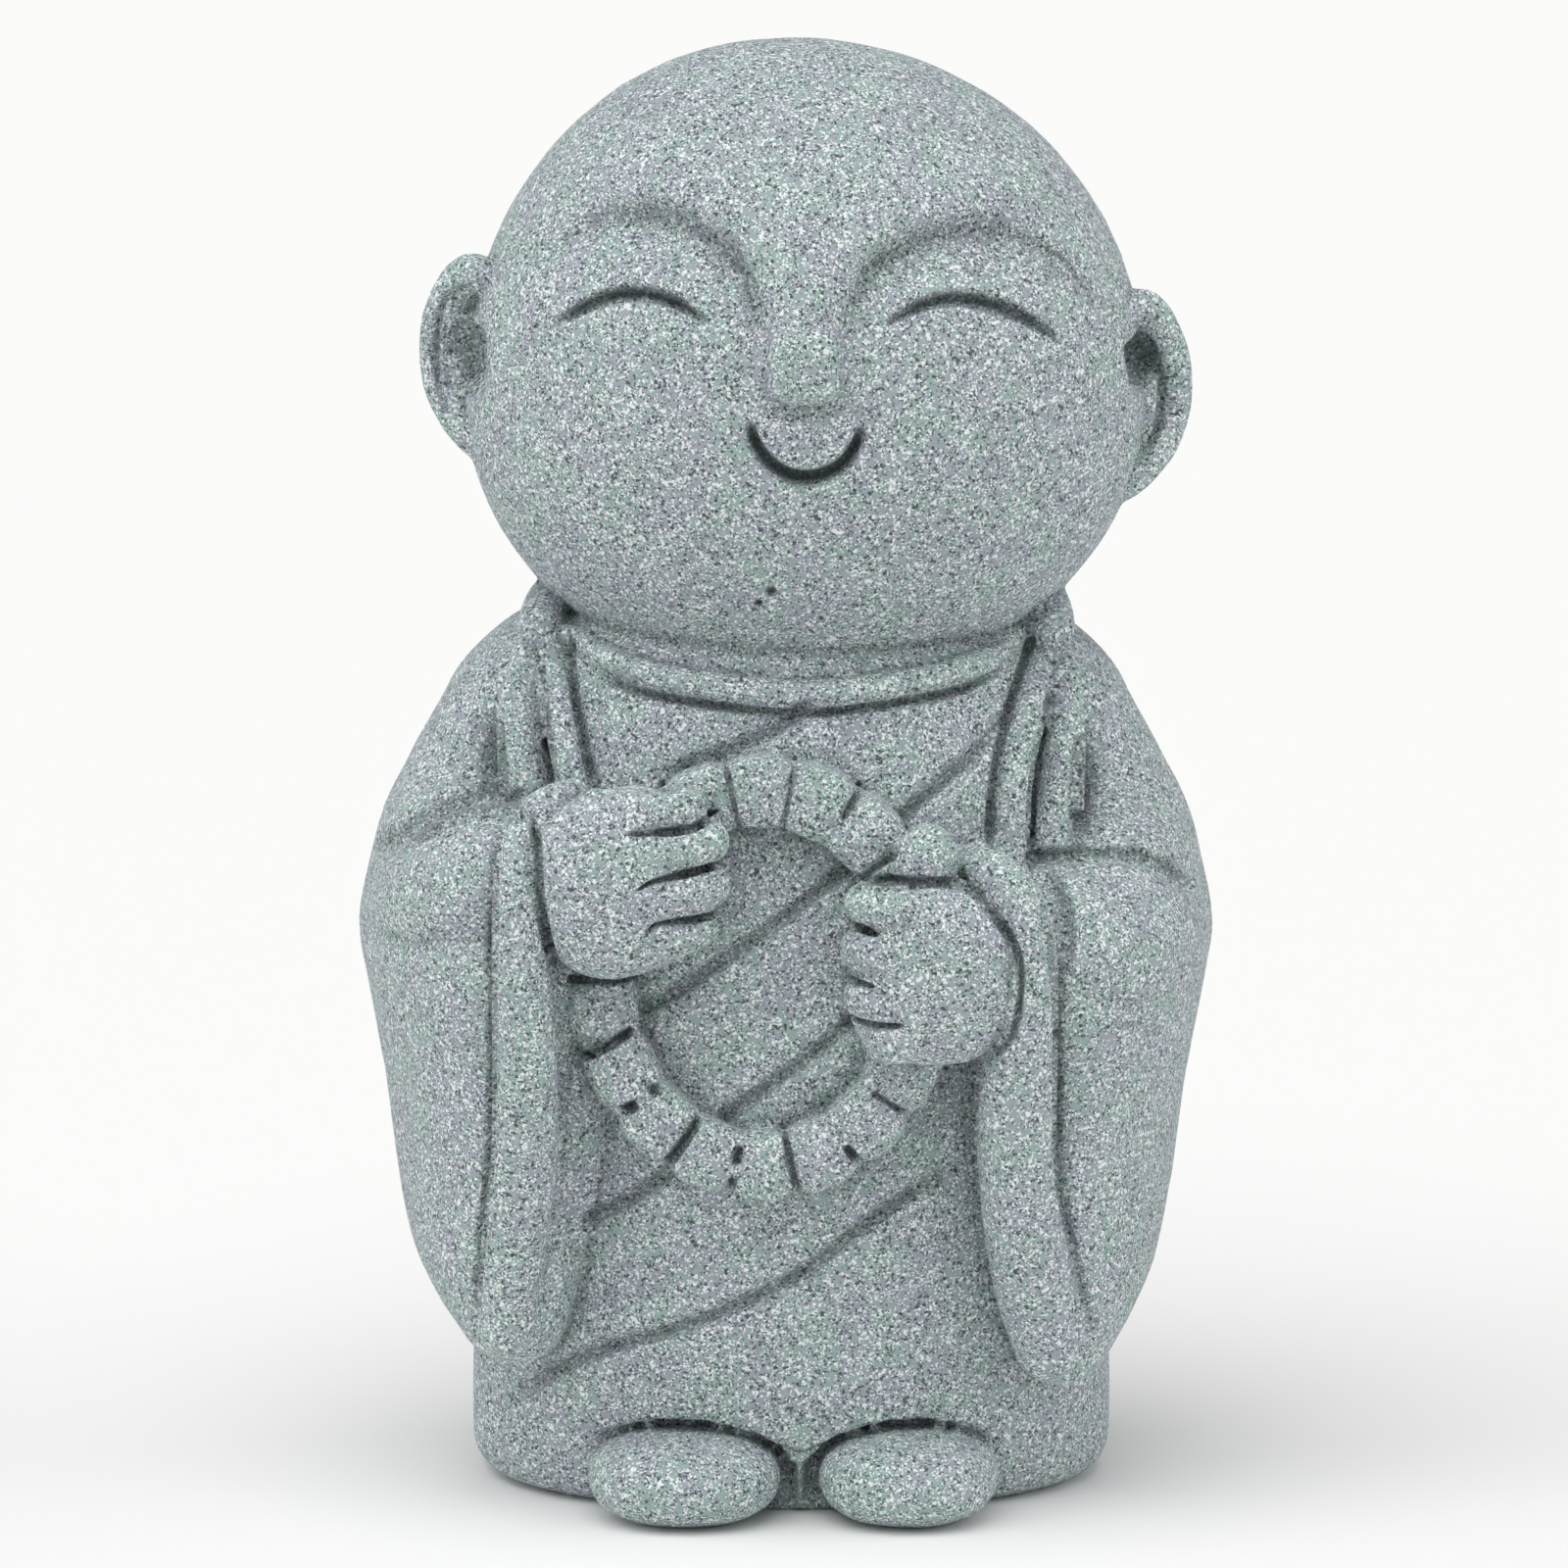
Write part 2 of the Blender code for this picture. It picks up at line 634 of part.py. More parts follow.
def hand(side, palm, fingers, knuckle):
    """A closed hand seen from its back, with four fingers bent over the beads."""
    s = side.sign
    meshes = list(palm)
    for finger in fingers:
        rows = (
            (knuckle + s * 2.6, -20.6, finger.height - finger.drop * 1.3, finger.radius * 1.1),
            (knuckle, -22.0, finger.height - finger.drop, finger.radius * 1.05),
            ((knuckle + finger.tip) / 2, -22.7, finger.height - finger.drop * 0.4, finger.radius),
            (finger.tip + s * finger.radius * 0.6, -21.6, finger.height, finger.radius * 0.95),
            (finger.tip + s * finger.radius * 0.9, -19.6, finger.height, finger.radius * 0.9),
        )
        meshes += tube(rows)
    return meshes


def high_hand():
    """The hand on the viewer's left."""
    palm = [
        ball((-11.5, -20.2, 45.2), (6.1, 4.2, 6.3), turn=(0, -16, 0), squareness=2.6),
        ball((-15.0, -17.6, 44.6), (4.0, 4.0, 5.4), squareness=2.2),
    ]
    fingers = (
        Finger(height=50.6, tip=-6.0, drop=0.1, radius=1.15),
        Finger(height=48.2, tip=-4.7, drop=0.6, radius=1.55),
        Finger(height=45.2, tip=-4.7, drop=0.9, radius=1.65),
        Finger(height=42.3, tip=-5.4, drop=1.3, radius=1.35),
    )
    return hand(HIGH_ARM, palm, fingers, knuckle=-10.4)


def low_hand():
    """The hand on the viewer's right."""
    palm = [
        ball((9.4, -20.2, 39.1), (5.6, 4.2, 6.3), turn=(0, 4, 0), squareness=2.7),
        ball((12.6, -17.6, 39.2), (3.8, 4.0, 5.2), squareness=2.2),
    ]
    fingers = (
        Finger(height=44.0, tip=3.5, drop=0.1, radius=1.45),
        Finger(height=40.9, tip=3.2, drop=0.0, radius=1.65),
        Finger(height=37.6, tip=3.5, drop=-0.1, radius=1.5),
        Finger(height=34.7, tip=4.9, drop=-0.3, radius=1.55),
    )
    return hand(LOW_ARM, palm, fingers, knuckle=8.6)


# Where the fingers part, as the hands are seen from in front
FINGER_GAPS = (
    ((-11.0, 49.0), (-9.7, 49.2), (-7.1, 49.5), (-4.8, 50.0)),
    ((-10.3, 45.3), (-9.3, 45.9), (-7.1, 46.4), (-4.0, 46.9)),
    ((-9.7, 42.4), (-8.9, 43.0), (-6.4, 43.2), (-4.4, 43.7)),
    ((2.0, 42.8), (4.1, 42.6), (6.0, 42.2)),
    ((2.0, 39.3), (4.3, 39.0), (5.8, 38.8)),
    ((3.0, 36.4), (5.7, 36.0), (8.0, 36.1)),
)

# Where each hand comes out of its cuff
WRISTS = (
    ((-17.4, 50.2), (-17.1, 47.9), (-16.8, 44.0), (-15.9, 39.3)),
    ((11.1, 45.6), (13.4, 43.2), (15.1, 39.6), (15.0, 36.4), (13.8, 33.8)),
)

# The line between the cuff's rolled edge and the sleeve, and the crease over the forearm
CUFF_LINES = (
    ((-20.0, 47.0), (-20.6, 42.0), (-20.2, 35.0), (-20.0, 26.0), (-20.4, 18.0), (-21.4, 12.4)),
    ((19.2, 42.6), (20.0, 38.0), (19.6, 31.0), (19.4, 24.0), (19.9, 17.0), (20.9, 12.0)),
)
FOREARM_CREASES = (
    ((-28.6, 44.4), (-25.2, 47.3), (-21.8, 48.9), (-17.6, 50.0)),
    ((27.6, 42.6), (24.6, 45.3), (20.6, 46.1), (15.8, 45.9)),
)


def bead_gaps():
    """The slot between each two beads, across the string."""
    for number in range(BEADS):
        angle = math.radians(FIRST_JOINT_DEGREES + number * 360 / BEADS)
        x, _, z = ring_point(math.degrees(angle))
        out = np.array([math.cos(angle) / RING_RADII[0], math.sin(angle) / RING_RADII[1]])
        out *= BEAD_RADIUS / np.linalg.norm(out)
        ends = ((x - out[0], z - out[1]), (x, z), (x + out[0], z + out[1]))
        yield Stroke(ends, depth=0.8, above=0.3, below=0.3, cover=RING_COVER, run_in=0.05)


def chisel_lines():
    """Every line that is cut into the finished skin."""
    lines = [Stroke(fold, depth=0.85, above=0.42, below=0.42) for fold in FRONT_FOLDS]
    lines += [Stroke(fold, depth=0.75, facing=BACK) for fold in BACK_FOLDS]
    lines += [Stroke(gap, 0.95, above=0.36, below=0.36, cover=ANYWHERE, run_in=0.05) for gap in FINGER_GAPS]
    lines += [Stroke(wrist, depth=0.7, above=0.4, below=0.4, cover=ANYWHERE) for wrist in WRISTS]
    lines += [Stroke(line, depth=0.75, above=0.4, below=0.4, cover=ANYWHERE) for line in CUFF_LINES]
    lines += [Stroke(line, depth=0.8, above=0.7, below=0.45, cover=ANYWHERE) for line in FOREARM_CREASES]
    lines += [Stroke(bowl, 1.3, above=0.9, below=0.9, cover=ANYWHERE, run_in=0.3) for bowl in EAR_BOWLS]
    lines += [Stroke(eye, depth=1.5, above=0.55, below=0.45, cover=ANYWHERE, run_in=0.25) for eye in EYES]
    lines += [Stroke(brow, 0.45, above=0.35, below=0.35, cover=ANYWHERE, run_in=0.3) for brow in BROWS]
    lines.append(Stroke(SMILE, depth=1.3, above=0.45, below=0.45, cover=ANYWHERE, run_in=0.2))
    lines += bead_gaps()
    return lines


def figure():
    """Every form of the statue, overlapping as the carver blocked them out."""
    meshes = robe() + head() + bead_ring() + lapel() + shoulder_folds() + inner_collar()
    for side in (HIGH_ARM, LOW_ARM):
        meshes += arm(side) + forearm(side) + sleeve_lining(side) + cuff_band(side)
    meshes += high_hand() + low_hand()
    meshes += ear(HIGH_ARM, inset=20.7, raised=2.2)
    meshes += ear(LOW_ARM, inset=20.8, raised=-0.2)
    meshes += [foot(*place) for place in FEET]
    return meshes


def evaluated(owner):
    """The object's mesh with its modifiers applied."""
    bpy.context.view_layer.update()
    return bpy.data.meshes.new_from_object(owner.evaluated_get(bpy.context.evaluated_depsgraph_get()))


def fuse(meshes):
    """One skin round all the forms, softened as a mould softens them."""
    shape = bmesh.new()
    for mesh in meshes:
        shape.from_mesh(mesh)
    blocks = bpy.data.meshes.new("blocks")
    shape.to_mesh(blocks)
    shape.free()
    owner = bpy.data.objects.new("blocks", blocks)
    bpy.context.scene.collection.objects.link(owner)
    skin = owner.modifiers.new("skin", "REMESH")
    skin.mode = "VOXEL"
    skin.voxel_size = SKIN_VOXEL
    soften = owner.modifiers.new("soften", "SMOOTH")
    soften.factor = 0.5
    soften.iterations = 1
    mesh = evaluated(owner)
    bpy.data.objects.remove(owner)
    return mesh


def thin(mesh, triangles):
    """Collapses the skin to that many triangles, most of them where it curves."""
    owner = bpy.data.objects.new("thin", mesh)
    bpy.context.scene.collection.objects.link(owner)
    owner.modifiers.new("triangles", "TRIANGULATE")
    mesh_triangles = sum(len(face.vertices) - 2 for face in mesh.polygons)
    fewer = owner.modifiers.new("fewer", "DECIMATE")
    fewer.ratio = min(1.0, triangles / mesh_triangles)
    thinned = evaluated(owner)
    bpy.data.objects.remove(owner)
    return thinned


def cut_flat(mesh):
    """Cuts the statue off at the surface it stands on and closes its underside."""
    shape = bmesh.new()
    shape.from_mesh(mesh)
    everything = shape.verts[:] + shape.edges[:] + shape.faces[:]
    bmesh.ops.bisect_plane(
        shape, geom=everything, dist=SHARE * 1e-4, plane_co=(0, 0, 0), plane_no=(0, 0, 1), clear_inner=True
    )
    rim = [edge for edge in shape.edges if edge.is_boundary]
    bmesh.ops.triangle_fill(shape, edges=rim, use_beauty=True)
    bmesh.ops.recalc_face_normals(shape, faces=shape.faces)
    shape.to_mesh(mesh)
    shape.free()
    return mesh


def stone():
    """Grey-green cast stone."""
    material = bpy.data.materials.new("cast_stone")
    material.use_nodes = True
    shader = material.node_tree.nodes["Principled BSDF"]
    shader.inputs["Base Color"].default_value = (0.33, 0.37, 0.38, 1)
    shader.inputs["Roughness"].default_value = 0.85
    shader.inputs["Metallic"].default_value = 0.0
    return material


def build():
    """Makes the statue."""
    clear_scene()
    collection = bpy.data.collections.new("stone_monk")
    bpy.context.scene.collection.children.link(collection)
    skin = fuse(figure())
    carve(skin, chisel_lines())
    mesh = cut_flat(thin(skin, TRIANGLES))
    mesh.materials.clear()
    mesh.materials.append(stone())
    mesh.shade_smooth()
    statue = bpy.data.objects.new("stone_monk_statue", mesh)
    collection.objects.link(statue)


build()
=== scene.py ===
"""Looks of a small cast-stone monk with a ring of prayer beads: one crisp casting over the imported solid.

Places and sizes are hundredths of the statue's height, as in the part's own source: x runs to the viewer's
right, y to the back and z up, from the middle of the underside.
"""

import logging
import math
from dataclasses import dataclass
from enum import Enum
from typing import Iterable, Iterator, Sequence

import bmesh
import bpy
import numpy as np
from mathutils import Euler, Matrix, Vector, kdtree, noise


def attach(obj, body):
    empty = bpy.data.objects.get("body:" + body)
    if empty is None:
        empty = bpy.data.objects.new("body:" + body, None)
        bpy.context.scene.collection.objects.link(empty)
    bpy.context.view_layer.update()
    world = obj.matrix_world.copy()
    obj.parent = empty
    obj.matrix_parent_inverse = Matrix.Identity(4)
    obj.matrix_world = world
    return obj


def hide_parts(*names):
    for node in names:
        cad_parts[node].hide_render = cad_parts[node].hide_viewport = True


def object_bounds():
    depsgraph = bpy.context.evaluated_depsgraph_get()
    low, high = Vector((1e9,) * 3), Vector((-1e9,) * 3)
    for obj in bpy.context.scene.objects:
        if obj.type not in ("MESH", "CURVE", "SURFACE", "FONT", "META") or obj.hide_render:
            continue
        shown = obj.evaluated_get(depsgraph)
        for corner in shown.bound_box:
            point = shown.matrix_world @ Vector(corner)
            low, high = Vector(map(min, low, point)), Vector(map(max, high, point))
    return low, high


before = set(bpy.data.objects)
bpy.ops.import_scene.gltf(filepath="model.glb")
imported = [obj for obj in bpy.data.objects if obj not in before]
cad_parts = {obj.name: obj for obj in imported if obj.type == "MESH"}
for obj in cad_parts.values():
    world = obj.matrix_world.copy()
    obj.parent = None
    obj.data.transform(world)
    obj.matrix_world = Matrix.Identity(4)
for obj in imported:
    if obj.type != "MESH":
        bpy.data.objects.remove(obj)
CAD_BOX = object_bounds()

LOG = logging.getLogger("stone_monk")

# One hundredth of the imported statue's height, in metres
SHARE = CAD_BOX[1].z / 100
MILLIMETRE = 0.001

BODY = "root"
NODE = "stone_monk_statue"

# The skin of the casting: voxel of the fused forms in metres, and the triangles that it is thinned to
SKIN_VOXEL = 0.00028
TRIANGLES = 192_000

# Farther in front of the robe than any form stands, in hundredths
ANYWHERE = 99.0

# How near two points count as one, and how near the plane of a cut a point counts as on it, in hundredths
WELD_REACH = 0.001
PLANE_REACH = 1e-4

Row = tuple[float, ...]
Rows = Sequence[Row]
Triple = tuple[float, float, float]


class Facing(Enum):
    """Which way the surface looks that a line is cut into."""

    FRONT = -1
    BACK = 1


def put(name: str, data: bpy.types.ID) -> bpy.types.Object:
    """Makes an object of that data and puts it in the scene."""
    thing = bpy.data.objects.new(name, data)
    bpy.context.scene.collection.objects.link(thing)
    return thing


def settled(shape: bmesh.types.BMesh, name: str) -> bpy.types.Mesh:
    """Turns a working shape into a mesh of that name, and frees the shape."""
    mesh = bpy.data.meshes.new(name)
    shape.to_mesh(mesh)
    shape.free()
    return mesh


def smooth_path(controls: Rows, per_span: int = 10) -> np.ndarray:
    """Runs a Catmull-Rom curve through the control rows, whatever their columns mean.

    Args:
        controls: The rows to pass through.
        per_span: Steps between two of them.

    Returns:
        The rows along the curve.
    """
    rows = np.array(controls, float)
    ends = np.vstack([2 * rows[0] - rows[1], rows, 2 * rows[-1] - rows[-2]])
    t = np.linspace(0, 1, per_span, endpoint=False)[:, None]
    spans = [
        0.5 * (2 * b + (c - a) * t + (2 * a - 5 * b + 4 * c - d) * t**2 + (3 * b - a - 3 * c + d) * t**3)
        for a, b, c, d in zip(ends, ends[1:], ends[2:], ends[3:])
    ]
    return np.vstack([*spans, rows[-1:]])


def loft(rings: Sequence[np.ndarray]) -> bpy.types.Mesh:
    """Skins rings of equal point counts, given bottom first and turning anticlockwise.

    Args:
        rings: The rings, each an array of x, y and z.

    Returns:
        A closed mesh.
    """
    stack = np.asarray(rings, float)
    index = np.arange(stack.shape[0] * stack.shape[1]).reshape(stack.shape[:2])
    low, high = index[:-1], index[1:]
    quads = np.stack([low, np.roll(low, -1, 1), np.roll(high, -1, 1), high], -1).reshape(-1, 4)
    caps = [index[0][::-1].tolist(), index[-1].tolist()]
    mesh = bpy.data.meshes.new("loft")
    mesh.from_pydata((stack.reshape(-1, 3) * SHARE).tolist(), [], quads.tolist() + caps)
    mesh.validate()
    return mesh


def ball(
    centre: Sequence[float],
    radii: Triple,
    turn: Triple = (0, 0, 0),
    squareness: float = 2.0,
    segments: int = 72,
) -> bpy.types.Mesh:
    """Stretches a sphere to three radii.

    Args:
        centre: Its middle.
        radii: Half sizes before it is turned.
        turn: Degrees about x, y and z.
        squareness: Over 2 fills the corners out.
        segments: Faces round its middle.

    Returns:
        A closed mesh.
    """
    shape = bmesh.new()
    bmesh.ops.create_uvsphere(shape, u_segments=segments, v_segments=segments // 2, radius=1)
    for vert in shape.verts:
        vert.co /= sum(abs(c) ** squareness for c in vert.co) ** (1 / squareness)
    rotation = Euler([math.radians(a) for a in turn]).to_matrix().to_4x4()
    place = Matrix.Translation(Vector(centre) * SHARE) @ rotation
    shape.transform(place @ Matrix.Diagonal((*(Vector(radii) * SHARE), 1)))
    return settled(shape, "ball")


def weld(mesh: bpy.types.Mesh) -> None:
    """Joins a curve's loose caps to its sides."""
    shape = bmesh.new()
    shape.from_mesh(mesh)
    bmesh.ops.remove_doubles(shape, verts=shape.verts, dist=SHARE * WELD_REACH)
    bmesh.ops.recalc_face_normals(shape, faces=shape.faces)
    shape.to_mesh(mesh)
    shape.free()


def tube(
    controls: Rows, closed: bool = False, per_span: int = 10, round_end: bool = True
) -> list[bpy.types.Mesh]:
    """Runs a round rope through rows of x, y, z and radius, with a ball on each open end.

    Args:
        controls: The rows to pass through.
        closed: Whether the rope is a loop. Its rows are then used as they are.
        per_span: Steps between two rows.
        round_end: Whether the far end has its ball too.

    Returns:
        The rope and its balls, each a closed mesh.
    """
    path = np.array(controls, float) if closed else smooth_path(controls, per_span)
    curve = bpy.data.curves.new("tube", "CURVE")
    curve.dimensions = "3D"
    curve.bevel_depth = SHARE
    curve.bevel_resolution = 8
    curve.use_fill_caps = True
    spline = curve.splines.new("POLY")
    spline.points.add(len(path) - 1)
    spline.use_cyclic_u = closed
    for point, (x, y, z, radius) in zip(spline.points, path):
        point.co = (x * SHARE, y * SHARE, z * SHARE, 1)
        point.radius = radius
    rope = put("tube", curve)
    mesh = evaluated(rope)
    bpy.data.objects.remove(rope)
    bpy.data.curves.remove(curve)
    weld(mesh)
    if closed:
        return [mesh]
    ends = (path[0], path[-1]) if round_end else (path[0],)
    return [mesh, *(ball(end[:3], (end[3],) * 3, segments=32) for end in ends)]


def evaluated(owner: bpy.types.Object) -> bpy.types.Mesh:
    """The object's mesh with its modifiers applied."""
    bpy.context.view_layer.update()
    return bpy.data.meshes.new_from_object(owner.evaluated_get(bpy.context.evaluated_depsgraph_get()))


def points_of(mesh: bpy.types.Mesh) -> tuple[np.ndarray, np.ndarray]:
    """The mesh's points in hundredths, and its normals."""
    count = len(mesh.vertices)
    points = np.empty(count * 3, np.float32)
    normals = np.empty(count * 3, np.float32)
    mesh.vertices.foreach_get("co", points)
    mesh.vertices.foreach_get("normal", normals)
    return points.reshape(-1, 3) / SHARE, normals.reshape(-1, 3)


def move_to(mesh: bpy.types.Mesh, points: np.ndarray) -> None:
    """Puts the mesh's points at these places, given in hundredths."""
    mesh.vertices.foreach_set("co", (points * SHARE).astype(np.float32).ravel())
    mesh.update()


def hollow(mesh: bpy.types.Mesh, centre: Triple, radii: Triple, wall: float) -> None:
    """Pushes the front of the mesh back out of an egg-shaped arch, which is open below its middle.

    Args:
        mesh: The mesh to change.
        centre: Middle of the egg.
        radii: Its half sizes.
        wall: The y that the arch goes back to at most.
    """
    points, _ = points_of(mesh)
    x, _, z = (points - centre).T / np.array(radii)[:, None]
    room = 1 - x**2 - np.clip(z, 0, None) ** 2
    floor = np.minimum(centre[1] + radii[1] * np.sqrt(np.clip(room, 0, None)), wall)
    caught = (room > 0) & (points[:, 1] < floor)
    points[caught, 1] = floor[caught]
    move_to(mesh, points)


def along_line(points: np.ndarray, controls: Rows, per_span: int = 10) -> tuple[np.ndarray, np.ndarray]:
    """Measures points against a line that is drawn on the statue as seen from in front.

    Args:
        points: The points, as x, y and z.
        controls: Rows of x and z that the line passes through.
        per_span: Steps between two rows.

    Returns:
        Each point's distance, positive above a line that runs to the right, and its share of the way along.
    """
    path = smooth_path(controls, per_span)
    flat = points[:, [0, 2]]
    best = np.full(len(flat), np.inf)
    signed = np.zeros(len(flat))
    share = np.zeros(len(flat))
    lengths = np.linalg.norm(np.diff(path, axis=0), axis=1)
    starts = np.concatenate([[0], np.cumsum(lengths)])
    for start, end, before, length in zip(path, path[1:], starts, lengths):
        run = end - start
        t = np.clip((flat - start) @ run / length**2, 0, 1)
        gap = flat - (start + t[:, None] * run)
        distance = np.linalg.norm(gap, axis=1)
        nearer = distance < best
        side = np.sign(run[0] * gap[:, 1] - run[1] * gap[:, 0])
        best = np.where(nearer, distance, best)
        signed = np.where(nearer, distance * side, signed)
        share = np.where(nearer, (before + t * length) / starts[-1], share)
    return signed, share


def bell(distance: np.ndarray, width: float | np.ndarray, wall: float = 2.0) -> np.ndarray:
    """A bump of height 1 that fades out at about twice its width. A higher wall makes its sides steeper."""
    return np.exp(-(np.abs(distance / width) ** wall))


def fade(share: np.ndarray, run_in: float = 0.15) -> np.ndarray:
    """0 at both ends of a line and 1 between them."""
    return np.clip(np.minimum(share, 1 - share) / run_in, 0, 1) ** 0.5


def swell(points: np.ndarray, controls: Rows, rise: float = 0.45, spread: float = 2.4) -> np.ndarray:
    """How far cloth stands up below a fold line, and a little above it."""
    signed, share = along_line(points, controls)
    lower = rise * bell(signed + spread * 0.6, spread) * (signed < 0)
    upper = 0.5 * rise * bell(signed - spread * 0.5, spread * 0.6) * (signed > 0)
    return (lower + upper) * fade(share, 0.12)


def oval(across: float, along: float, corner: float, points: int) -> tuple[np.ndarray, np.ndarray]:
    """Points round a squarish oval, anticlockwise, as two rows of coordinates."""
    turn = np.linspace(0, 2 * math.pi, points, endpoint=False)
    cosine, sine = np.cos(turn), np.sin(turn)
    return (
        across * np.sign(cosine) * np.abs(cosine) ** (2 / corner),
        along * np.sign(sine) * np.abs(sine) ** (2 / corner),
    )


@dataclass(frozen=True)
class Robe:
    """The robed body from hem to neck, with the folds of its front and back."""

    corner: float = 2.25
    # Height, half width, depth in front, depth behind
    levels: Rows = (
        (-1.6, 17.4, 10.6, 11.2),
        (0.0, 19.8, 13.0, 13.6),
        (0.8, 21.3, 14.5, 15.0),
        (2.2, 22.1, 15.5, 16.0),
        (5.0, 22.2, 16.3, 16.7),
        (10.0, 22.1, 17.2, 17.0),
        (20.0, 21.6, 18.1, 17.3),
        (30.0, 21.4, 18.8, 17.4),
        (38.0, 21.6, 18.5, 17.3),
        (45.0, 21.4, 17.6, 16.9),
        (51.0, 20.4, 16.4, 16.2),
        (55.5, 19.0, 15.3, 15.2),
        (58.5, 17.8, 14.3, 14.2),
        (60.4, 16.4, 13.0, 13.2),
        (61.6, 13.6, 10.8, 11.2),
        (62.2, 9.0, 8.0, 8.0),
    )
    front_folds: tuple[Rows, ...] = (
        ((-19.4, 7.0), (-14.2, 11.1), (-6.1, 14.3), (0.4, 17.6), (5.7, 21.6), (11.5, 25.2)),
        ((-16.5, 19.4), (-11.3, 22.5), (-7.4, 25.6), (-4.0, 29.0), (1.7, 33.3), (6.0, 37.0), (11.0, 40.0)),
        ((-11.5, 34.8), (-4.0, 40.0), (1.4, 43.8), (8.2, 49.5), (12.7, 53.0), (15.0, 55.4)),
        ((-8.6, 51.6), (-4.0, 53.4), (-1.3, 54.7), (1.6, 56.8)),
    )
    # Falling from the viewer's left shoulder as the back is looked at
    back_folds: tuple[Rows, ...] = (
        ((15.0, 6.5), (6.0, 12.0), (-6.0, 19.0), (-15.0, 27.0)),
        ((16.5, 19.0), (7.0, 26.0), (-4.0, 34.0), (-13.0, 44.0)),
        ((15.0, 34.0), (7.0, 40.0), (-1.0, 47.0), (-8.0, 55.0)),
    )
    hem_crack: Rows = ((-1.9, 4.9), (-0.4, 5.2), (0.6, 4.8), (2.0, 5.3), (3.0, 5.1))
    # How far in front of the robe its own lines still cut
    cover: float = 1.3

    def front_at(self, x: np.ndarray, z: np.ndarray) -> np.ndarray:
        """How far forward the robe's front lies at that place, as a y."""
        levels = np.array(self.levels)
        width = np.interp(z, levels[:, 0], levels[:, 1])
        depth = np.interp(z, levels[:, 0], levels[:, 2])
        room = np.clip(1 - np.abs(x / width) ** self.corner, 0, 1)
        return -depth * room ** (1 / self.corner)

    def laid_on(self, rows: Rows, proud: float) -> list[Row]:
        """Rows of x, z and radius laid on the robe's front, that far in front of it."""
        return [(x, self.front_at(x, z) - proud, z, radius) for x, z, radius in rows]

    def ring(
        self, half_width: float, front: float, back: float, height: float, points: int = 360
    ) -> np.ndarray:
        """One level of the robe: an oval in plan that is deeper in front than behind."""
        x, y = oval(half_width, 1, self.corner, points)
        y *= np.where(y < 0, front, back)
        return np.column_stack([x, y, np.full(points, height)])

    def blocks(self, feet: Sequence["Foot"]) -> list[bpy.types.Mesh]:
        """Makes the body, arched over each foot.

        Args:
            feet: The feet that the hem lies over.

        Returns:
            One closed mesh.
        """
        levels = smooth_path(self.levels, per_span=16)
        mesh = loft([self.ring(a, front, back, z) for z, a, front, back in levels])
        points, normals = points_of(mesh)
        rise = np.zeros(len(points))
        for fold in self.front_folds:
            rise += swell(points, fold) * np.clip(-normals[:, 1] * 2, 0, 1)
        for fold in self.back_folds:
            rise += swell(points, fold) * np.clip(normals[:, 1] * 2, 0, 1)
        move_to(mesh, points + normals * rise[:, None])
        for foot in feet:
            foot.lift_hem(mesh)
        return [mesh]

    def strokes(self) -> Iterator["Stroke"]:
        """The fold lines, and the fine crack over the hem's middle."""
        for fold in self.front_folds:
            yield Stroke(fold, depth=0.8, above=0.45, below=0.36, cover=self.cover, painted_cut_shade=0.3)
        for fold in self.back_folds:
            yield Stroke(fold, depth=0.75, facing=Facing.BACK, painted_cut_shade=0.3)
        yield Stroke(self.hem_crack, depth=0.22, above=0.13, below=0.13, cover=self.cover, painted_cut_shade=0.45)


@dataclass(frozen=True)
class Foot:
    """A pebble of a foot under the hem."""

    middle: float
    half_width: float
    length: float = 7.0
    height: float = 3.25
    back: float = -14.4
    level: float = 2.9
    hem_gap: float = 0.75
    hem_overhang: float = 0.3
    hem_wall: float = -13.4

    def blocks(self) -> list[bpy.types.Mesh]:
        """The foot itself."""
        radii = (self.half_width, self.length, self.height)
        return [ball((self.middle, self.back, self.level), radii, squareness=2.3)]

    def lift_hem(self, robe: bpy.types.Mesh) -> None:
        """Arches the robe's hem over the foot."""
        radii = (self.half_width + self.hem_gap + self.hem_overhang, self.length, self.height + self.hem_gap)
        hollow(robe, (self.middle, self.back, self.level), radii, self.hem_wall)


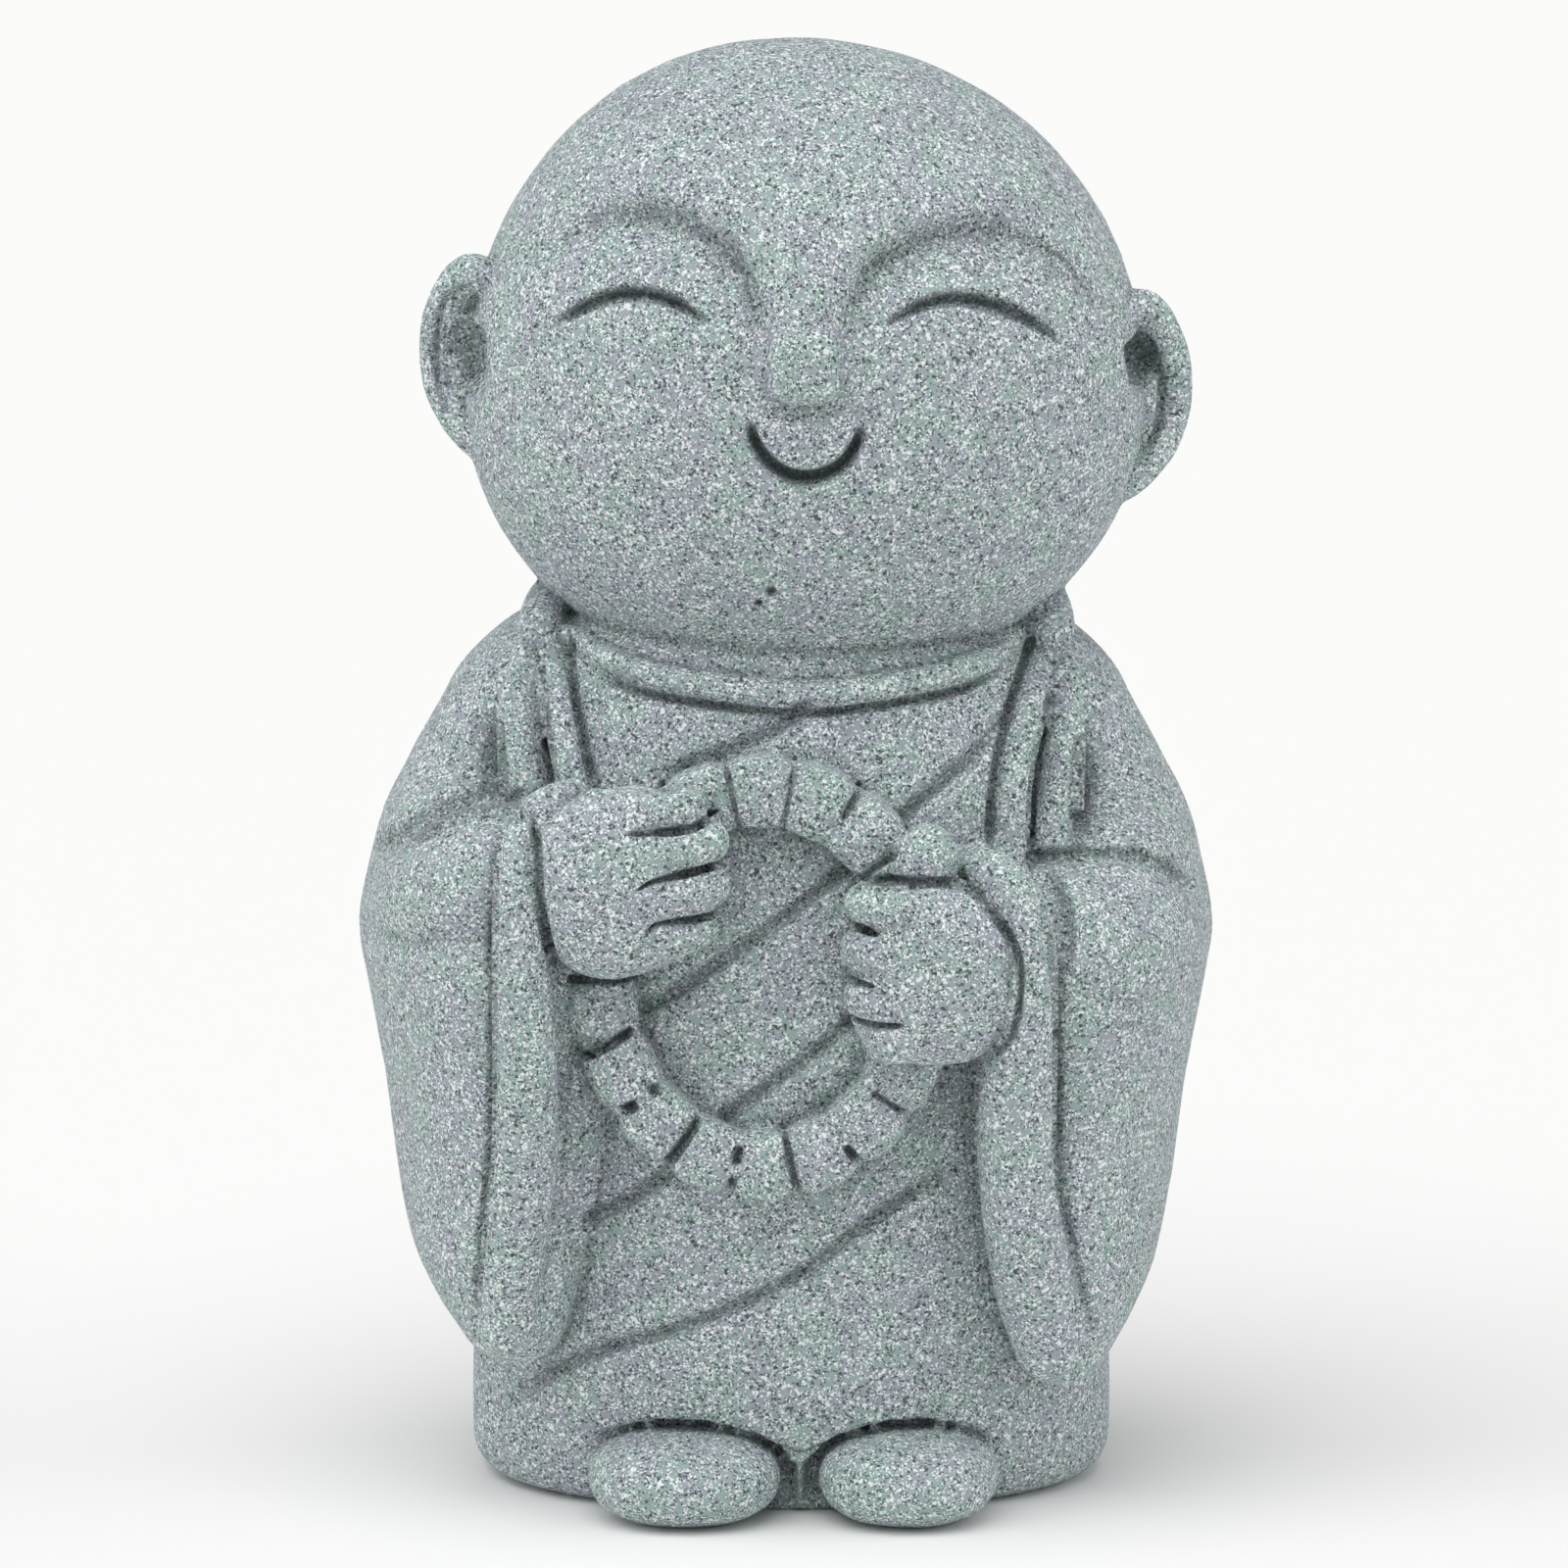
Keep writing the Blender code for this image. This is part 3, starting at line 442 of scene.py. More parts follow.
@dataclass(frozen=True)
class Stroke:
    """One line of the chisel, drawn as the statue is seen from in front or behind.

    The path holds x and z. The widths are half widths above and below a line that runs to the right, and wall
    is how steep its sides are. The line cuts what stands between stands and cover in front of the robe. Its
    last
    number is painted shade: how far the colour in the cut is painted dark, as shade falls in a groove.
    """

    path: Rows
    depth: float
    above: float = 0.42
    below: float = 0.42
    wall: float = 2.0
    cover: float = ANYWHERE
    stands: float = -ANYWHERE
    facing: Facing = Facing.FRONT
    run_in: float = 0.12
    taper: float = 0.0
    # Painted shade: how dark this cut's colour is painted
    painted_cut_shade: float = 0.35

    def measured(self, points: np.ndarray, robe: Robe) -> tuple[np.ndarray, np.ndarray, np.ndarray]:
        """Finds the points that the line may touch.

        Args:
            points: All points of the skin.
            robe: The robe, whose front the cover is counted from.

        Returns:
            Their indices, their signed distances, and their shares of the way along.
        """
        path = np.array(self.path, float)
        margin = 2.5 * max(self.above, self.below) + 1
        flat = points[:, [0, 2]]
        near = ((flat > path.min(0) - margin) & (flat < path.max(0) + margin)).all(1)
        near &= points[:, 1] * self.facing.value > 0
        if self.facing is Facing.FRONT:
            forward = robe.front_at(points[:, 0], points[:, 2]) - points[:, 1]
            near &= (forward < self.cover) & (forward > self.stands)
        index = np.flatnonzero(near)
        signed, share = along_line(points[index], self.path)
        return index, signed, share

    def amount(self, signed: np.ndarray, share: np.ndarray, spread: float = 1.0) -> np.ndarray:
        """How deep the cut is at those places, as a share of its full depth."""
        ends = fade(share, self.run_in)
        narrowing = 1 - self.taper * (1 - fade(share, 0.5))
        width = np.where(signed > 0, self.above, self.below) * narrowing * spread
        return bell(signed, width, self.wall) * ends


class Arm(Enum):
    """The arm that holds the ring high is on the viewer's left."""

    HIGH = -1
    LOW = 1


@dataclass(frozen=True)
class Sleeve:
    """Upper arm, forearm and hanging sleeve of one side, with its rolled cuff."""

    arm: Arm
    reach: float
    cuff_height: float
    elbow_height: float
    cuff: Rows
    cuff_line: Rows
    crease: Rows
    dimple: Rows
    tip_lift: float = 0.0
    tip_widening: float = 1.0
    tip_reach: float = 22.0
    corner: float = 2.2
    # Height, x and y of the middle, half thickness, half length, degrees that carry the front edge inwards
    levels: Rows = (
        (9.3, 19.4, -12.4, 1.5, 3.0, 12),
        (10.1, 19.3, -11.6, 2.6, 5.6, 12),
        (11.5, 19.5, -10.4, 3.4, 7.8, 12),
        (13.6, 19.9, -8.8, 4.3, 9.8, 13),
        (16.3, 20.2, -7.2, 5.2, 11.4, 13),
        (21.1, 20.6, -5.8, 5.8, 12.8, 13),
        (27.6, 20.8, -5.0, 6.5, 14.0, 13),
        (31.2, 20.9, -4.6, 7.1, 14.6, 13),
        (34.7, 21.0, -4.6, 7.6, 15.6, 13),
        (38.5, 21.1, -4.4, 8.2, 16.0, 12),
        (42.0, 20.7, -3.4, 8.3, 15.6, 10),
        (46.3, 19.7, -0.6, 8.6, 12.6, 4),
        (50.2, 18.1, 1.4, 8.3, 10.0, 0),
        (54.0, 16.7, 1.3, 7.6, 9.3, 0),
        (56.5, 16.0, 1.2, 6.9, 8.6, 0),
        (58.8, 15.2, 1.0, 5.5, 7.3, 0),
        (60.4, 14.8, 1.0, 3.6, 5.0, 0),
        (61.1, 14.5, 1.0, 1.5, 2.5, 0),
    )

    def mirrored(self, rows: Rows) -> list[Row]:
        """Rows drawn for an arm at +x, moved to this side."""
        return [(x * self.reach * self.arm.value, *rest) for x, *rest in rows]

    def ring(self, level: Row, points: int = 180) -> np.ndarray:
        """One level of the arm: an oval turned about the upright axis."""
        height, x, y, thick, long, turned = level
        low = max(0.0, 1 - (height - self.levels[0][0]) / self.tip_reach)
        across, along = oval(thick * (1 + (self.tip_widening - 1) * low), long, self.corner, points)
        angle = math.radians(turned)
        flat_x = (x + across * math.cos(angle) + along * math.sin(angle)) * self.reach * self.arm.value
        flat_y = y - across * math.sin(angle) + along * math.cos(angle)
        ring = np.column_stack([flat_x, flat_y, np.full(points, height + self.tip_lift * low)])
        return ring if self.arm is Arm.LOW else ring[::-1]

    def hanging(self) -> bpy.types.Mesh:
        """Shoulder, upper arm and hanging sleeve in one mass."""
        return loft([self.ring(level) for level in smooth_path(self.levels, per_span=10)])

    def forearm(self) -> list[bpy.types.Mesh]:
        """The sleeved forearm, coming round from the elbow to the cuff."""
        elbow, cuff = self.elbow_height, self.cuff_height
        rows = (
            (21.0, 3.0, elbow, 7.0),
            (22.6, -4.6, elbow + 1.4, 6.5),
            (22.0, -10.2, elbow + 3.0, 6.0),
            (20.4, -14.0, cuff - 0.6, 5.7),
            (17.2, -15.6, cuff, 5.5),
        )
        return tube(self.mirrored(rows), round_end=False)

    def lining(self) -> list[bpy.types.Mesh]:
        """Cloth that fills the corner between the hanging sleeve and the body."""
        rows = (
            (13.6, -13.6, 45.0, 2.6),
            (15.0, -13.8, 38.0, 3.6),
            (15.4, -13.8, 28.0, 3.6),
            (16.4, -13.0, 19.0, 3.2),
            (17.6, -11.6, 13.0, 2.4),
        )
        return tube(self.mirrored(rows))

    def blocks(self) -> list[bpy.types.Mesh]:
        """Every form of this sleeve."""
        return [self.hanging(), *self.forearm(), *self.lining(), *tube(self.cuff)]

    def strokes(self) -> Iterator[Stroke]:
        """The line behind the rolled cuff, the crease over the forearm, and the dimple above it."""
        yield Stroke(self.cuff_line, depth=0.6, above=0.26, below=0.26, painted_cut_shade=0.4)
        yield Stroke(self.crease, depth=0.9, above=0.5, below=0.26, painted_cut_shade=0.5)
        yield Stroke(self.dimple, depth=1.7, above=0.28, below=1.4, run_in=0.5, painted_cut_shade=0.55)


@dataclass(frozen=True)
class Collar:
    """Neck edge of the under-robe, the outer robe's lapels, and the strip of cloth beside each."""

    robe: Robe
    neck_edge: Rows = (
        (-15.2, 60.0, 0.7),
        (-11.2, 58.6, 0.85),
        (-6.0, 57.7, 0.95),
        (0.6, 57.1, 1.0),
        (7.2, 57.7, 0.95),
        (12.6, 58.6, 0.85),
        (16.2, 60.0, 0.7),
    )
    left_lapel: Rows = (
        (-13.6, 43.5, 1.1),
        (-14.2, 47.0, 1.15),
        (-14.9, 51.0, 1.2),
        (-15.7, 55.0, 1.3),
        (-16.6, 58.6, 1.4),
    )
    right_lapel: Rows = (
        (17.3, 58.4, 1.45),
        (16.1, 55.0, 1.35),
        (15.2, 51.0, 1.25),
        (14.9, 46.0, 1.2),
        (14.4, 41.5, 1.1),
    )
    nape: Rows = (
        (-17.1, -5.0, 60.6, 1.6),
        (-15.4, 5.0, 61.3, 1.7),
        (-9.0, 12.4, 61.0, 1.7),
        (0.5, 14.8, 60.8, 1.7),
        (10.0, 12.4, 61.0, 1.7),
        (16.4, 5.0, 61.2, 1.7),
        (17.8, -5.0, 60.6, 1.6),
    )
    left_strip: Rows = ((-18.3, -7.4, 58.6, 0.9), (-18.6, -9.2, 54.6, 1.5), (-18.0, -11.4, 49.0, 1.9))
    right_strip: Rows = ((18.9, -7.6, 57.4, 0.9), (18.6, -9.6, 52.4, 1.5), (17.8, -12.0, 45.8, 2.0))
    # How far the middles of the lapels and of the neck edge lie in front of the robe
    lapel_proud: float = 0.8
    edge_proud: float = 0.4
    # The crisp lines on either side of each lapel, and the one under the neck edge
    lines: tuple[Rows, ...] = (
        ((-17.5, 61.0), (-17.0, 57.6), (-16.4, 53.5), (-16.0, 50.5)),
        ((-15.1, 60.4), (-14.9, 57.6), (-14.1, 53.5), (-13.4, 50.8)),
        ((16.7, 60.0), (15.5, 57.4), (14.6, 55.0), (13.9, 52.2), (13.5, 49.0), (13.4, 46.0)),
        ((18.6, 59.5), (18.1, 57.4), (17.2, 54.6), (16.6, 52.0), (16.3, 49.0), (16.3, 46.2)),
        ((-13.0, 57.6), (-10.0, 56.9), (-5.6, 56.4), (0.6, 55.9), (6.8, 56.4), (11.4, 57.0), (14.0, 57.8)),
    )

    def blocks(self) -> list[bpy.types.Mesh]:
        """Every roll of the collar."""
        left, right = (
            self.robe.laid_on(rows, self.lapel_proud) for rows in (self.left_lapel, self.right_lapel)
        )
        rolls = [
            tube([*left, *self.nape, *right], per_span=8),
            tube(self.left_strip),
            tube(self.right_strip),
        ]
        return sum(rolls, tube(self.robe.laid_on(self.neck_edge, self.edge_proud)))

    def strokes(self) -> Iterator[Stroke]:
        """The lines that part the rolls."""
        for line in self.lines:
            yield Stroke(line, depth=0.6, above=0.22, below=0.22, cover=3.6, run_in=0.08, painted_cut_shade=0.55)


@dataclass(frozen=True)
class Pit:
    """A small air hole that the mould left: x and z of its middle, and its radius."""

    x: float
    z: float
    radius: float


@dataclass(frozen=True)
class Head:
    """The bald head, wide at the cheeks, with a doll's face."""

    centre: Triple = (0.95, 0.0, 75.6)
    half_width: float = 23.4
    top: float = 24.4
    bottom: float = 20.6
    front: float = 20.4
    back: float = 21.6
    corner: float = 2.06
    crown_lean: float = 0.9
    jaw_taper: float = 0.06
    brows: tuple[Rows, ...] = (
        ((-1.7, 79.0), (-2.3, 84.0), (-4.4, 87.6), (-8.5, 89.6), (-13.2, 88.9), (-17.8, 84.8)),
        ((3.4, 79.0), (3.9, 83.5), (6.0, 86.9), (10.2, 88.6), (15.2, 88.0), (20.6, 82.9)),
    )
    eyes: tuple[Rows, ...] = (
        ((-16.0, 82.0), (-13.4, 83.6), (-10.8, 84.4), (-8.0, 84.1), (-5.6, 82.8)),
        ((6.3, 82.8), (8.9, 83.9), (11.6, 84.1), (15.0, 83.0), (18.1, 80.9)),
    )
    smile: Rows = (
        (-2.8, 76.4),
        (-2.4, 74.9),
        (-1.1, 73.3),
        (0.9, 72.6),
        (3.1, 73.3),
        (4.3, 74.8),
        (4.7, 76.1),
    )
    nose_line: Rows = ((0.85, 92.0), (0.85, 84.0), (0.95, 77.8))
    nose_half_width: float = 2.8
    nose_rise: float = 2.0
    nose_tip_raised: float = 4.7
    nose_tip_radii: Triple = (2.6, 1.9, 2.6)
    nose_tip_squareness: float = 2.9
    # How deep the eye hollows are, and their half widths inside and outside the brow line
    eye_hollow: float = 1.3
    hollow_inside: float = 3.4
    hollow_outside: float = 0.7
    brow_rise: float = 0.4
    # The share of a brow over which each of its ends runs in
    brow_run_in: float = 0.35
    # Fine slips of the chisel: beside the nose, over the far brow and at the temple
    slips: tuple[Rows, ...] = (
        ((-4.1, 88.0), (-3.3, 86.4), (-2.8, 84.7), (-2.4, 83.0)),
        ((15.0, 88.0), (17.9, 86.6), (19.6, 84.4), (20.9, 82.3)),
        ((-17.9, 81.1), (-17.3, 81.7), (-16.9, 82.2)),
    )
    pits: tuple[Pit, ...] = (Pit(-1.37, 64.5, 0.34), Pit(-2.2, 63.6, 0.26), Pit(1.97, 62.5, 0.16))

    def relief(self, points: np.ndarray, normals: np.ndarray) -> np.ndarray:
        """How far forehead, eye hollows and nose stand off the plain head."""
        height = np.zeros(len(points))
        for brow in self.brows:
            signed, share = along_line(points, brow)
            inward = signed if brow[0][0] > brow[-1][0] else -signed
            ends = np.clip(np.minimum(share, 1 - share) / self.brow_run_in, 0, 1) ** 1.5
            sides = (bell(inward, self.hollow_inside), bell(inward, self.hollow_outside))
            height -= self.eye_hollow * np.where(inward > 0, *sides) * ends
            height += self.brow_rise * bell(inward + 2.2, 1.6) * ends
        signed, share = along_line(points, self.nose_line)
        ridge = bell(signed, self.nose_half_width * (0.85 + 0.15 * share), wall=3)
        ends = np.clip(np.minimum(share, 1 - share) * 6, 0, 1)
        height += self.nose_rise * (0.35 + 0.65 * share**2) * ridge * ends
        return height * np.clip(-normals[:, 1] * 2.5, 0, 1)

    def blocks(self) -> list[bpy.types.Mesh]:
        """The head with its relief, and the round tip of the nose."""
        shape = bmesh.new()
        bmesh.ops.create_uvsphere(shape, u_segments=480, v_segments=320, radius=1)
        for vert in shape.verts:
            size = sum(abs(c) ** self.corner for c in vert.co) ** (1 / self.corner)
            x, y, z = vert.co / size
            deep = self.front if y < 0 else self.back
            tall = self.top if z > 0 else self.bottom
            lean, jaw = (-self.crown_lean * z**4, 1) if z > 0 else (0, 1 - self.jaw_taper * z**2)
            place = Vector((x * self.half_width * jaw + lean, y * deep, z * tall)) + Vector(self.centre)
            vert.co = place * SHARE
        mesh = settled(shape, "head")
        points, normals = points_of(mesh)
        move_to(mesh, points + normals * self.relief(points, normals)[:, None])
        x, y, z = self.centre
        tip_place = (x, y - self.front, z + self.nose_tip_raised)
        return [mesh, ball(tip_place, self.nose_tip_radii, squareness=self.nose_tip_squareness)]

    def strokes(self) -> Iterator[Stroke]:
        """Closed eyes, smile, brow edges and slips."""
        for eye in self.eyes:
            yield Stroke(
                eye,
                depth=1.25,
                above=0.6,
                below=0.28,
                wall=3,
                run_in=0.2,
                taper=0.6,
                painted_cut_shade=1.0,
            )
        yield Stroke(
            self.smile,
            depth=1.3,
            above=0.5,
            below=0.5,
            wall=3,
            run_in=0.1,
            taper=0.5,
            painted_cut_shade=1.0,
        )
        for brow in self.brows:
            yield Stroke(
                brow, depth=0.3, above=0.6, below=0.6, run_in=self.brow_run_in, painted_cut_shade=0.15
            )
        for slip in self.slips:
            yield Stroke(slip, depth=0.3, above=0.15, below=0.15, run_in=0.3, painted_cut_shade=0.6)


@dataclass(frozen=True)
class Ear:
    """A jug ear: a rolled rim round a plate, with a line inside the rim and a bowl next to the head."""

    arm: Arm
    head: Head
    inset: float
    raised: float
    line: Rows
    bowl: Rows
    half_height: float = 6.7
    turn: float = 18.0

    @property
    def middle(self) -> float:
        """The height of the ear's middle."""
        return self.head.centre[2] + self.raised

    @property
    def top(self) -> float:
        """The height of the ear's top."""
        return self.middle + self.half_height

    @property
    def bottom(self) -> float:
        """The height of the ear's lobe."""
        return self.middle - self.half_height

    def blocks(self) -> list[bpy.types.Mesh]:
        """Plate and rim."""
        s = self.arm.value
        out = self.head.centre[0] + s * self.inset
        rim = (
            (out - s * 0.6, -3.4, self.top - 1.6, 1.2),
            (out + s * 2.2, -3.0, self.top - 0.2, 1.35),
            (out + s * 4.1, -1.6, self.middle + 3.4, 1.35),
            (out + s * 4.4, -1.0, self.middle - 0.4, 1.3),
            (out + s * 3.3, -1.4, self.bottom + 3.6, 1.45),
            (out + s * 1.3, -2.6, self.bottom + 1.6, 1.5),
            (out - s * 0.9, -3.4, self.bottom + 0.4, 1.2),
        )
        plate_radii = (4.2, 2.1, self.half_height - 0.6)
        plate = ball((out + s * 1.0, -1.2, self.middle), plate_radii, turn=(0, 0, self.turn * s))
        return [plate, *tube(rim)]

    def strokes(self) -> Iterator[Stroke]:
        """The line along the inside of the rim, and the bowl."""
        yield Stroke(self.line, depth=0.5, above=0.22, below=0.22, run_in=0.3, painted_cut_shade=0.45)
        yield Stroke(
            self.bowl,
            depth=1.5,
            above=0.85,
            below=0.85,
            wall=2.6,
            run_in=0.35,
            taper=0.4,
            painted_cut_shade=0.4,
        )


@dataclass(frozen=True)
class Slot:
    """One cut between two beads.

    It runs across the string from start to end, where -1 is the inner edge and 1 the outer one, and it leans
    by that many degrees.
    """

    start: float
    end: float
    depth: float
    width: float
    lean: float = 0.0


@dataclass(frozen=True)
class BeadRing:
    """A thick string of blocky beads that lies half sunk on the belly."""

    robe: Robe
    centre: tuple[float, float] = (-2.0, 38.4)
    radii: tuple[float, float] = (10.9, 12.6)
    beads: int = 18
    bead_radius: float = 2.4
    string_radius: float = 2.2
    first_joint: float = 0.5
    proud: float = 1.0
    blockiness: float = 5.0
    # The cuts that the chisel left, each with the number of its joint, anticlockwise from the viewer's right
    slots: tuple[tuple[int, Slot], ...] = (
        (2, Slot(-0.9, 0.9, 0.5, 0.2)),
        (3, Slot(0.0, 1.0, 0.75, 0.2)),
        (4, Slot(-1.0, 1.0, 0.5, 0.16)),
        (5, Slot(-1.0, 1.0, 0.55, 0.17)),
        (6, Slot(-1.0, 1.0, 0.5, 0.17)),
        (9, Slot(-1.0, 1.0, 0.7, 0.24)),
        (10, Slot(-0.75, 0.95, 1.1, 0.24, lean=13.0)),
        (11, Slot(0.1, 0.6, 1.3, 0.3)),
        (11, Slot(-0.75, -0.35, 1.1, 0.26)),
        (12, Slot(-0.9, 0.9, 1.2, 0.3)),
        (13, Slot(-0.6, 0.0, 1.0, 0.24)),
        (13, Slot(0.4, 0.8, 0.9, 0.22)),
        (14, Slot(-1.0, 1.0, 0.8, 0.2)),
        (15, Slot(0.1, 0.7, 1.0, 0.24)),
        (16, Slot(-0.5, 0.6, 0.7, 0.2)),
        (17, Slot(-0.8, 0.8, 0.5, 0.2)),
    )
    # The bead that the lower hand pushes up over its knuckles
    lifted_place: Triple = (8.9, -19.9, 46.3)
    lifted_radii: Triple = (2.3, 2.1, 2.9)
    lifted_turn: Triple = (0.0, 18.0, 0.0)

    def point(self, degrees: float) -> np.ndarray:
        """Middle of the string at that angle."""
        angle = math.radians(degrees)
        x = self.centre[0] + self.radii[0] * math.cos(angle)
        z = self.centre[1] + self.radii[1] * math.sin(angle)
        return np.array([x, float(self.robe.front_at(x, z)) - self.proud, z])

    def joint(self, number: int) -> float:
        """The angle of the joint with that number, in degrees."""
        return self.first_joint + number * 360 / self.beads

    def blocks(self) -> list[bpy.types.Mesh]:
        """The string and its beads."""
        string = [(*self.point(angle), self.string_radius) for angle in np.arange(0, 360, 3)]
        meshes = tube(string, closed=True)
        for number in range(self.beads):
            before, after = self.point(self.joint(number)), self.point(self.joint(number + 1))
            run = after - before
            radii = (np.linalg.norm(run) * 0.51, self.bead_radius, self.bead_radius)
            lean = math.degrees(math.atan2(run[2], run[0]))
            middle = self.point(self.joint(number + 0.5))
            meshes.append(ball(middle, radii, turn=(0, -lean, 0), squareness=self.blockiness, segments=40))
        meshes.append(ball(self.lifted_place, self.lifted_radii, self.lifted_turn))
        return meshes

    def cut(self, number: int, slot: Slot) -> Stroke:
        """The stroke of one slot, across the string."""
        angle = math.radians(self.joint(number))
        x, _, z = self.point(self.joint(number))
        out = np.array([math.cos(angle) / self.radii[0], math.sin(angle) / self.radii[1]])
        out *= self.bead_radius / np.linalg.norm(out)
        cosine, sine = math.cos(math.radians(slot.lean)), math.sin(math.radians(slot.lean))
        out = np.array([out[0] * cosine - out[1] * sine, out[0] * sine + out[1] * cosine])
        shares = (slot.start, (slot.start + slot.end) / 2, slot.end)
        path = tuple((x + out[0] * share, z + out[1] * share) for share in shares)
        cover = self.proud + self.bead_radius + 1
        # The painted shade in a slot grows with its depth
        painted_cut_shade = min(0.8 * slot.depth, 1.0)
        return Stroke(
            path,
            depth=slot.depth,
            above=slot.width,
            below=slot.width,
            wall=3,
            cover=cover,
            run_in=0.1,
            taper=0.3,
            painted_cut_shade=painted_cut_shade,
        )

    def strokes(self) -> Iterator[Stroke]:
        """Every slot of the ring."""
        for number, slot in self.slots:
            yield self.cut(number, slot)


@dataclass(frozen=True)
class Finger:
    """One finger: height and x of its tip, how much lower its knuckle is, and its radius."""

    height: float
    tip: float
    drop: float
    radius: float


@dataclass(frozen=True)
class Hand:
    """A closed mitten of a hand seen from its back, with four fingers bent over the beads."""

    arm: Arm
    palm: tuple[tuple[Triple, Triple, Triple, float], ...]
    knuckle: float
    fingers: tuple[Finger, ...]
    gaps: tuple[Rows, ...]
    wrist: Rows

    def blocks(self) -> list[bpy.types.Mesh]:
        """Palm and fingers."""
        s = self.arm.value
        meshes = [ball(centre, radii, turn, squareness) for centre, radii, turn, squareness in self.palm]
        for finger in self.fingers:
            rows = (
                (self.knuckle + s * 2.6, -20.6, finger.height - finger.drop * 1.3, finger.radius * 1.1),
                (self.knuckle, -22.0, finger.height - finger.drop, finger.radius * 1.05),
                ((self.knuckle + finger.tip) / 2, -22.7, finger.height - finger.drop * 0.4, finger.radius),
                (finger.tip + s * finger.radius * 0.6, -21.6, finger.height, finger.radius * 0.95),
                (finger.tip + s * finger.radius * 0.9, -19.6, finger.height, finger.radius * 0.9),
            )
            meshes += tube(rows)
        return meshes

    def strokes(self) -> Iterator[Stroke]:
        """The slots between the fingers, and the line where the hand comes out of its cuff."""
        for gap in self.gaps:
            yield Stroke(
                gap,
                depth=1.0,
                above=0.2,
                below=0.2,
                wall=2.4,
                stands=2.2,
                taper=0.5,
                painted_cut_shade=0.75,
            )
        yield Stroke(
            self.wrist, depth=0.9, above=0.22, below=0.22, stands=1.0, run_in=0.15, painted_cut_shade=0.7
        )


@dataclass(frozen=True)
class StoneMonk:
    """The whole figure, poured in one go: every form, the chisel lines, the wear of the mould and painted
    shade in its corners and cuts.
    """

    robe: Robe
    feet: tuple[Foot, ...]
    sleeves: tuple[Sleeve, ...]
    collar: Collar
    head: Head
    ears: tuple[Ear, ...]
    ring: BeadRing
    hands: tuple[Hand, ...]
    # Depth of an air hole as a share of its radius, and how steep its wall is
    pit_depth: float = 1.6
    pit_wall: int = 4
    refine_reach: float = 0.55
    # Size and height of the mould's soft lumps and of the grit
    lump_size: float = 2.6
    lump_height: float = 0.05
    grit_size: float = 0.9
    grit_height: float = 0.03
    # Smoothing rounds that find edges and corners, and how far those stand off before they count in full:
    # edges are rubbed green, corners get painted shade
    edge_rounds: int = 150
    edge_scale: float = 1.1
    edge_start: float = 0.35
    corner_rounds: int = 8
    corner_scale: float = 0.1

    def blocks(self) -> list[bpy.types.Mesh]:
        """Every form of the statue, overlapping as the carver blocked them out."""
        meshes = self.robe.blocks(self.feet)
        for form in (*self.feet, *self.sleeves, self.collar, self.head, *self.ears, self.ring, *self.hands):
            meshes += form.blocks()
        return meshes

    def strokes(self) -> list[Stroke]:
        """Every line that is cut into the finished skin."""
        forms = (self.robe, *self.sleeves, self.collar, self.head, *self.ears, self.ring, *self.hands)
        return [stroke for form in forms for stroke in form.strokes()]

    def fuse(self, meshes: Iterable[bpy.types.Mesh]) -> bpy.types.Mesh:
        """Wraps one skin round all the forms, softened as a mould softens them.

        Args:
            meshes: Closed meshes that overlap.

        Returns:
            One closed mesh of small even quads.
        """
        shape = bmesh.new()
        for mesh in meshes:
            shape.from_mesh(mesh)
            bpy.data.meshes.remove(mesh)
        owner = put("blocks", settled(shape, "blocks"))
        skin = owner.modifiers.new("skin", "REMESH")
        skin.mode = "VOXEL"
        skin.voxel_size = SKIN_VOXEL
        soften = owner.modifiers.new("soften", "SMOOTH")
        soften.factor = 0.5
        soften.iterations = 2
        mesh = evaluated(owner)
        bpy.data.objects.remove(owner)
        return mesh

    def refine(self, mesh: bpy.types.Mesh, strokes: Iterable[Stroke]) -> None:
        """Halves the quads near the chisel lines and pits, so that their edges come out crisp."""
        points, _ = points_of(mesh)
        chosen = np.zeros(len(points), bool)
        for stroke in strokes:
            index, signed, _ = stroke.measured(points, self.robe)
            chosen[index[np.abs(signed) < 1.5 * max(stroke.above, stroke.below) + self.refine_reach]] = True
        for pit in self.head.pits:
            chosen |= self.pit_distance(points, pit) < pit.radius * 2 + self.refine_reach
        shape = bmesh.new()
        shape.from_mesh(mesh)
        edges = [e for e in shape.edges if chosen[e.verts[0].index] and chosen[e.verts[1].index]]
        bmesh.ops.subdivide_edges(shape, edges=edges, cuts=1, use_grid_fill=True)
        shape.to_mesh(mesh)
        shape.free()

    def pit_distance(self, points: np.ndarray, pit: Pit) -> np.ndarray:
        """How far each point lies from a pit's middle as seen from in front, endless for those behind."""
        away = np.hypot(points[:, 0] - pit.x, points[:, 2] - pit.z)
        return np.where(points[:, 1] < 0, away, np.inf)

    def carve(self, mesh: bpy.types.Mesh, strokes: Iterable[Stroke]) -> None:
        """Cuts every stroke and pit into the skin."""
        points, normals = points_of(mesh)
        depth = np.zeros(len(points))
        for stroke in strokes:
            index, signed, share = stroke.measured(points, self.robe)
            facing = normals[index, 1] * stroke.facing.value > 0.1
            cut = stroke.depth * stroke.amount(signed, share) * facing
            depth[index] = np.maximum(depth[index], cut)
        for pit in self.head.pits:
            hole = bell(self.pit_distance(points, pit), pit.radius, self.pit_wall)
            depth = np.maximum(depth, self.pit_depth * pit.radius * hole)
        move_to(mesh, points - normals * depth[:, None])

